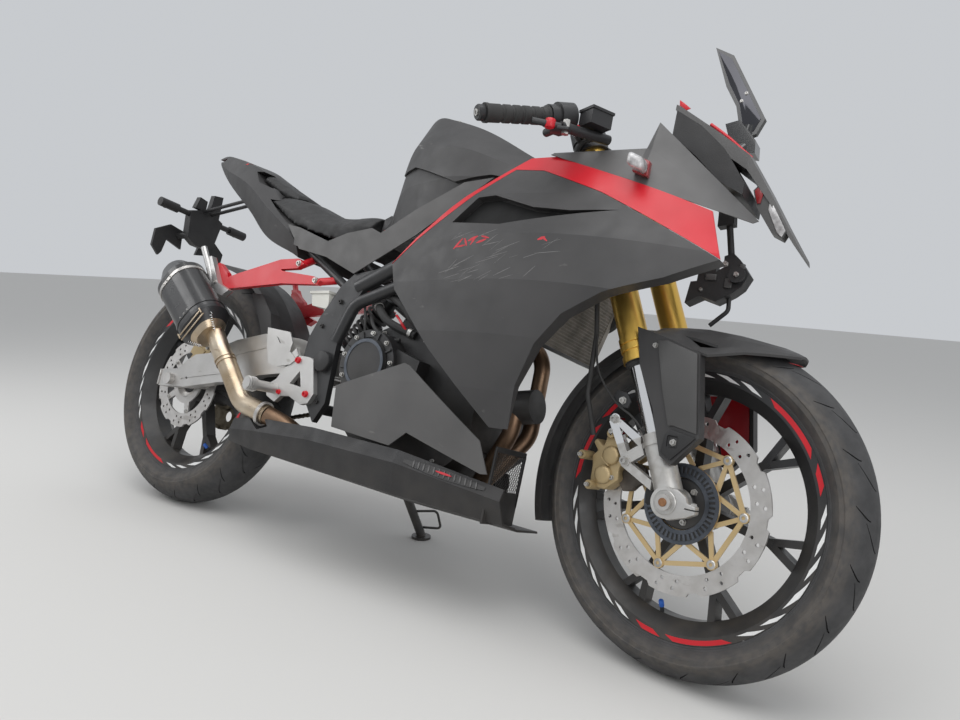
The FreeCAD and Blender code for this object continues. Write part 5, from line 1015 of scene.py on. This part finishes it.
def two_tone(name, base, centre, axis, low, high, colour, metal):
    """A copy of a finish whose colour changes where the distance along an axis of the machine is in a range."""
    material = base.copy()
    material.name = name
    tree = material.node_tree
    shader = tree.nodes["Principled BSDF"].inputs
    stand = LEANED @ Matrix.Translation(centre) @ Vector((0, 0, 1)).rotation_difference(axis).to_matrix().to_4x4()
    along = seen_from(tree, stand)[1]["Z"]
    share = times(tree, spread(tree, along, low, low + 0.0006, 0, 1),
                  spread(tree, along, high, high + 0.0006, 1, 0))
    old = shader["Base Color"].links[0].from_socket
    tree.links.new(blend(tree, share, old, colour), shader["Base Color"])
    tree.links.new(spread(tree, share, 0, 1, shader["Metallic"].default_value, metal), shader["Metallic"])
    return material


frame["nodes"]["exhaust_mid_pipe"].material_slots[0].material = two_tone(
    "pipe_and_black_cap", warm_steel, m_start, m_dir, 0.006, 0.044, (0.02, 0.02, 0.021), 0.1)
frame["nodes"]["passenger_brackets"].material_slots[0].material = two_tone(
    "bracket_and_silver_peg", bracket_red, Vector((0, 0, 0)), Vector((0, -1, 0)), 0.1426, 0.2,
    (0.52, 0.51, 0.5), 0.8)
ring_axis = Vector((-46, -8, 48)).normalized()
settle(joined([lathe([(22.6, -2.5), (25.2, -2.5), (25.2, 2.5), (22.6, 2.5)],
                     Vector((262, -167.5, 383)) + ring_axis * at, ring_axis, 40) for at in (-8, 2)]),
       "pipe_rings", "chassis", warm_steel)
flange_turn = Matrix((m_side, m_dir, outward)).transposed().to_4x4()
settle(joined([block(m_start + m_dir * along + outward * out + m_side * at, size, 1, flange_turn)
               for along, out, at, size in (
                   (22, 49, 0, (92, 3.5, 3)), (22, 49, -44, (4, 16, 3)),
                   (22, 49, 44, (4, 16, 3)), (12, 45, 0, (92, 3.5, 3)))]),
       "can_flange", "chassis", warm_steel)
for k, hand in enumerate((-1, 1)):
    start = m_start + m_dir * -22 + m_side * hand * 26 + outward * 12
    end = m_start + m_dir * 22 + m_side * hand * 50 + outward * 24
    axis = (end - start).normalized()
    across = axis.cross(outward).normalized()
    turns = coil(start.lerp(end, 0.12), start.lerp(end, 0.88), across, across.cross(axis), 3.6, 7, 56)
    settle(tube([start + axis * 2, *turns, end], 0.9), "pipe_spring_%d" % (k + 1), "chassis", chrome)
for k, along in enumerate((52, 178)):

    def band(around, across):
        c, s = math.cos(math.tau * around), math.sin(math.tau * around)
        return (m_start + m_dir * (along + 9 * across) + m_side * (math.copysign(15, c) + 50.8 * c)
                + m_out * 50.8 * s)

    settle(sheet(60, 1, band, 1.6, closed=True), "can_band_%d" % (k + 1), "chassis",
           ground_steel if k else can_black)
    settle(copies(bolt_head(12, 0.3), [
        along_axis(m_start + m_dir * (along + 4.5) + m_side * at + outward * 51.2, outward, 2.4, 1.6)
        for at in (-14, 0, 14)]), "can_rivets_%d" % (k + 1), "chassis", bolt_steel)
settle(lathe([(21, 0), (26, 0), (27, 2), (25, 6), (21, 6)], m_start + m_dir * 243, m_dir, 36),
       "outlet_ring", "chassis", ground_steel)
settle(lathe([(24.5, 0), (29, 0), (29, 9), (24.5, 9)], (412, -137.5, 277), (-0.94, -0.2, 0.2), 36),
       "header_clamp", "chassis", ground_steel)

# Seat and passenger pad
# Foam cushions under tight black cover material: each is swollen a little by cloth under pressure from
# a smaller copy of its plain solid, and lies in the room that the solid holds.
seat_cover = surface("seat_cover", (0.017, 0.017, 0.017), (0.028, 0.027, 0.027), patch=16, rough=(0.5, 0.7),
                     grain=1400, depth=0.35, scuffs=(0.10, 0.095, 0.09), scuff_share=0.7)


def cushion(node, name, shrink, limit):
    """A padded piece swollen by cloth pressure from a slightly smaller copy of a plain solid."""
    piece = frame["nodes"][node].copy()
    piece.data = piece.data.copy()
    bpy.context.collection.objects.link(piece)
    piece.hide_set(False)
    piece.hide_render = False
    piece.data.transform(piece.matrix_world)
    piece.matrix_world = Matrix.Identity(4)
    edit_all(piece)
    bpy.ops.mesh.remove_doubles(threshold=0.0001)
    bpy.ops.mesh.normals_make_consistent(inside=False)
    bpy.ops.transform.shrink_fatten(value=-shrink)
    bpy.ops.object.mode_set(mode="OBJECT")
    shaped(piece, "REMESH", mode="VOXEL", voxel_size=0.006)
    flat = [vertex.co.copy() for vertex in piece.data.vertices]
    cloth = piece.modifiers.new("padding", "CLOTH")
    cloth.settings.use_pressure = True
    cloth.settings.uniform_pressure_force = 4
    cloth.settings.effector_weights.gravity = 0
    for step in range(1, 21):
        bpy.context.scene.frame_set(step)
    bpy.ops.object.modifier_apply(modifier="padding")
    for vertex, start in zip(piece.data.vertices, flat):
        move = vertex.co - start
        if move.length > limit:
            vertex.co = start + move.normalized() * limit
    bpy.context.scene.frame_set(1)
    shaped(piece, "SUBSURF", levels=1)
    piece = settle(piece, name, "chassis", seat_cover, [node], 60, Matrix.Identity(4))


cushion("rider_seat", "rider_seat_cushion", 0.003, 0.005)
cushion("passenger_pad", "passenger_pad_cushion", 0.002, 0.004)

# Marks of wear on the fairing
# Red scrapings of old paint and pale scratches from a slide lie as thin films on the matte right panel
# and on the front of the tank.
scrape_red = surface("red_scrape", (0.42, 0.02, 0.03), (0.60, 0.03, 0.045), patch=90, rough=(0.5, 0.7), depth=0.3)
scratch_grey = surface("pale_scratch", (0.12, 0.117, 0.115), (0.19, 0.185, 0.18), patch=90, rough=(0.5, 0.7),
                       depth=0.2)


def laid(name, body, node, rows, finish, lift=0.4):
    """Thin tapering strips that follow a carried-over surface: X, Z to X, Z and width."""
    strips = []
    for x0, z0, x1, z1, width in rows:
        long = math.hypot(x1 - x0, z1 - z0)

        def strip(along, across):
            wide = (across - 0.5) * width * (0.35 + 0.65 * math.sin(math.pi * along))
            x = x0 + (x1 - x0) * along - (z1 - z0) / long * wide
            z = z0 + (z1 - z0) * along + (x1 - x0) / long * wide
            spot, normal = seated(node, BODY_TURNS[body], x, z, -1)
            return spot + normal * lift

        strips.append(sheet(max(2, int(long / 7)), 1, strip, lift))
    settle(joined(strips), name, body, finish, smooth=0)


laid("fairing_red_scrapes", "chassis", "side_fairing_right", [
    (908, 668, 926, 690, 5), (914, 672, 936, 676, 4), (930, 690, 940, 674, 5),
    (940, 684, 962, 694, 6), (948, 676, 958, 694, 4.5), (962, 680, 984, 688, 5),
    (970, 694, 990, 690, 4), (1098, 688, 1112, 694, 6), (1106, 694, 1118, 686, 4)],
    scrape_red, 0.12)
random.seed(11)
scratches = []
for k in range(34):
    x, z = random.uniform(885, 1120), random.uniform(600, 688)
    scratches.append((x, z, x + random.uniform(14, 52), z + random.uniform(6, 24), random.uniform(0.5, 1.5)))
laid("fairing_scratches", "chassis", "side_fairing_right", scratches, scratch_grey, 0.08)
laid("tank_scrape", "chassis", "fuel_tank", [
    (640, 952, 662, 944, 3), (648, 946, 672, 934, 2), (652, 940, 668, 936, 1.4)],
    scratch_grey, 0.08)

# Belly pan front and vent
# A ribbed vent strip is let into the pan's side under the lower panel; a wall with a mesh closes the
# unbroken half of its front.
laid("belly_vent", "chassis", "belly_pan", [(872, 252, 1060, 237, 17)], black_metal, 0.8)
laid("belly_vent_ribs", "chassis", "belly_pan", [
    (896 + 12 * k, 257 - 0.95 * k, 899 + 12 * k, 244 - 0.95 * k, 3.4) for k in range(13)],
    cowl_plastic, 1.7)
laid("belly_vent_mark", "chassis", "belly_pan", [(950, 247, 986, 244, 4)], scrape_red, 2.2)
settle(joined([block((1060, y, z), (4, wide, high), 1.2) for y, z, wide, high in (
    (-101, 206, 112, 62), (-101, 312, 112, 10), (-48, 260, 8, 100),
    (-154, 260, 8, 100))]), "belly_front_wall", "chassis", bare_plastic)
mesh_middle = Vector((1060, -101, 272))
mesh_wires = copies(block(mesh_middle, (1.2, 1, 108), 0.3), [
    Matrix.Translation(mesh_middle + Vector((0, k * 8, 0))) @ Matrix.Rotation(math.radians(slant), 4, "X")
    @ Matrix.Translation(-mesh_middle) for slant in (-45, 45) for k in range(-9, 10)])
edit_all(mesh_wires)
for plane, normal in (((0, -156, 0), (0, -1, 0)), ((0, -46, 0), (0, 1, 0)), ((0, 0, 236), (0, 0, -1)),
                      ((0, 0, 308), (0, 0, 1))):
    bpy.ops.mesh.select_all(action="SELECT")
    bpy.ops.mesh.bisect(plane_co=plane, plane_no=normal, clear_outer=True, use_fill=True)
bpy.ops.object.mode_set(mode="OBJECT")
settle(mesh_wires, "belly_front_mesh", "chassis", bare_plastic)

# Tank top
# A round locking filler cap is screwed to a ring on the tank's crest; its key slot has a small flap.
cap_spot, cap_axis = Vector((668, 0, 1037)), Vector((0.02, 0, 1)).normalized()
settle(lathe([(0, -8), (38, -8), (38, -1), (35, 2), (25, 2), (25, 4), (22, 6), (0, 6)],
             cap_spot, cap_axis, 56), "filler_cap", "chassis", ground_steel)
settle(block(cap_spot + Vector((0, 0, 7.5)), (10, 26, 4), 1.6), "filler_flap", "chassis", black_metal)
settle(copies(bolt_head(20, 0.45), [
    upright(cap_spot + Vector((30 * math.cos(a), 30 * math.sin(a), 1.6)), 3.4, 2.2)
    for a in (k * math.tau / 7 for k in range(7))]), "filler_bolts", "chassis", bolt_steel)

# Lamps, signals and mirror
# A smoked lens on a dark red base makes the turn signal; the position lamp has a white lens strip in a
# grey housing; the mirror glass is glued in its shell and held with two screws.
signal_clear = surface("signal_lens_smoke", (0.20, 0.19, 0.19), (0.62, 0.61, 0.61), patch=70, rough=(0.06, 0.16),
                       depth=0.05, coat=0.8)
signal_red = surface("signal_base_red", (0.20, 0.012, 0.014), (0.32, 0.02, 0.022), rough=(0.15, 0.3), coat=0.5)


def wedge(near, far, bevel):
    """A rounded block between two four-sided ends: y, then back low, back top, front low and front top."""
    deselect()
    bpy.ops.mesh.primitive_cube_add(size=2)
    piece = bpy.context.object
    for vertex in piece.data.vertices:
        x, y, z = vertex.co
        across, *corners = near if y > 0 else far
        along, height = corners[(2 if x > 0 else 0) + (1 if z > 0 else 0)]
        vertex.co = (along, across, height)
    edit_all(piece)
    bpy.ops.mesh.normals_make_consistent(inside=False)
    bpy.ops.mesh.bevel(offset=bevel, segments=4, affect="EDGES")
    bpy.ops.object.mode_set(mode="OBJECT")
    return piece


settle(wedge((-150, (1219, 843), (1219, 875), (1249, 833), (1249, 863)),
             (-170, (1221, 841), (1221, 872), (1253, 830), (1253, 859)), 3),
       "signal_base", "chassis", signal_red, ["turn_signal_right"])
settle(wedge((-166, (1221, 842), (1221, 871), (1251, 832), (1251, 858)),
             (-213, (1226, 838), (1226, 862), (1260, 824), (1260, 846)), 9),
       "signal_lens", "chassis", signal_clear)
settle(plate([(1424, 846), (1430, 842), (1460, 792), (1455, 780), (1446, 788), (1424, 830)],
             -16, -13.6, 0.8), "position_lens", "chassis", signal_clear)
settle(plate([(1394, 866), (1404, 880), (1412, 870), (1408, 842), (1402, 842)], -16.4, -13.6, 0.8),
       "position_lamp_end", "chassis", signal_red)
mirror_glass, tree, shader = new_finish("mirror_glass")
coords = tree.nodes.new("ShaderNodeTexCoord").outputs["Object"]
tree.links.new(blend(tree, noise(tree, coords, 12), (0.05, 0.05, 0.055), (0.09, 0.09, 0.1)), shader["Base Color"])
tree.links.new(spread(tree, noise(tree, coords, 60), 0.3, 0.7, 0.03, 0.09), shader["Roughness"])
shader["Metallic"].default_value = 0.9
settle(plate([(1249, 1196), (1279, 1177), (1359, 1043), (1349, 1018), (1342, 1014),
              (1325, 1033), (1312, 1075), (1284, 1121)], 52.6, 54, 0.5), "mirror_face", "chassis",
       mirror_glass)
settle(copies(bolt_head(16, 0.35), [sideways((x, 53, z), 3.6, 2.4) for x, z in ((1322, 1098), (1315, 1082))]),
       "mirror_screws", "chassis", bolt_steel)

# Nose trim and hanging switch unit
# Red edging is left along the nose strip where the screen was; the plastic switch unit hangs by its
# stay with its bolts, plugs and a red tab.
settle(tube([(1282, 2, 1010), (1316, 2, 986), (1348, 2, 958), (1372, 2, 938)], 3.2),
       "nose_red_edge", "chassis", red_plastic)
settle(plate([(1214, 1060), (1224, 1053), (1240, 1040), (1232, 1037), (1216, 1048)], -10.5, -8.6,
             0.6), "nose_tip_mark", "chassis", red_plastic)
settle(copies(bolt_head(), [sideways((x, y, z), radius, 4) for x, y, z, radius in (
    (1366, -15.6, 726, 6), (1392, -25.6, 705, 5), (1330, -15.6, 676, 3.6))]), "switch_unit_bolts",
       "chassis", bolt_steel)
settle(joined([block(spot, size, 1.5) for spot, size in (
    ((1345, -17, 700), (20, 5, 12)), ((1378, -17, 690), (14, 5, 18)),
    ((1398, -17, 722), (10, 5, 10)))]), "switch_unit_plugs", "chassis", guard_paint)
settle(block((1322, -16.5, 712), (8, 4, 7), 1), "switch_unit_red_tab", "chassis", red_plastic)

# Tail lamp, plate holder and indicators
# A moulded red lens fills the slot under the tail tips; the two indicators on the blank plate holder
# end in smoked lenses.
tail_red = surface("tail_lens_red", (0.34, 0.008, 0.012), (0.46, 0.012, 0.016), rough=(0.08, 0.18), coat=0.6)
settle(block((-168, 0, 966.5), (34, 26, 7), 2), "tail_lens", "chassis", tail_red)
for hand, ending in SIDES:
    settle(lathe([(0, 0), (10, 0), (11, 3), (9, 7), (4, 9), (0, 9.5)],
                 (-226, hand * 124, 793), (-1, 0, 0), 28), "indicator_lens_" + ending, "chassis", dark_lens)

# Gill, seat tag and what fills the frame
# The fairing's recess holds a near-black sheet as painted shade; a red tag is left at the seat's front; the air
# box and the sprung damper stand between the frame's sides.
gill_low = ((884, 729), (1000, 723), (1214, 755.5))
gill_high = ((884, 729), (923, 779), (962, 783), (1060, 755.5), (1138, 749.5), (1214, 755.5))


def height_at(corners, x):
    for (x0, z0), (x1, z1) in zip(corners, corners[1:]):
        if x <= x1:
            return z0 + (z1 - z0) * (x - x0) / (x1 - x0)
    return corners[-1][1]


def shade_sheet_point(along, across):
    """A point of the painted-shade sheet, a little inside the recess's edges."""
    x = 890 + 250 * along
    low, high = height_at(gill_low, x) + 1, height_at(gill_high, x) - 1
    if x > 1040:
        low, high = low + 1, max(high, low + 3)
    spot, normal = seated("side_fairing_right", LEANED, x, low + (high - low) * across, -1)
    return spot + normal * 0.4


# Painted shade: a near-black, very rough sheet, darker than the machine's black plastic, paints the shade inside
# the recess.
gill_painted_shade = surface("gill_painted_shade", (0.004, 0.004, 0.004), (0.009, 0.009, 0.009), rough=(0.85, 0.95), depth=0.2)
settle(sheet(46, 6, shade_sheet_point, 0.5), "gill_shade_sheet", "chassis", gill_painted_shade, smooth=0)
laid("tail_tip_red", "chassis", "tail_cowl", [(-6, 937, 10, 940, 5)], red_plastic)
laid("seat_front_tag", "chassis", "tank_rear_cover", [(568, 756, 586, 732, 9)], red_plastic, 1.2)
settle(block((742, 0, 676), (150, 150, 84), 12, Matrix.Rotation(math.radians(-8), 4, "Y")), "air_box",
       "chassis", bare_plastic)
damper_low = Vector((486, 0, 470))
damper_axis = (Vector((588, 0, 604)) - damper_low).normalized()
settle(joined([lathe(profile, damper_low, damper_axis, 32) for profile in (
    [(0, 0), (12, 0), (12, 70), (20, 72), (20, 166), (0, 166)],
    [(12, 8), (32, 8), (32, 13), (12, 13)],
    [(19, 138), (32, 138), (32, 144), (19, 144)])]), "rear_damper", "chassis", black_metal)
damper_across = damper_axis.cross(Vector((0, 1, 0))).normalized()
settle(tube(coil(damper_low + damper_axis * 16, damper_low + damper_axis * 134, damper_across, Vector((0, 1, 0)),
                 27, 8, 112), 4.2), "damper_spring", "chassis", cowl_plastic)
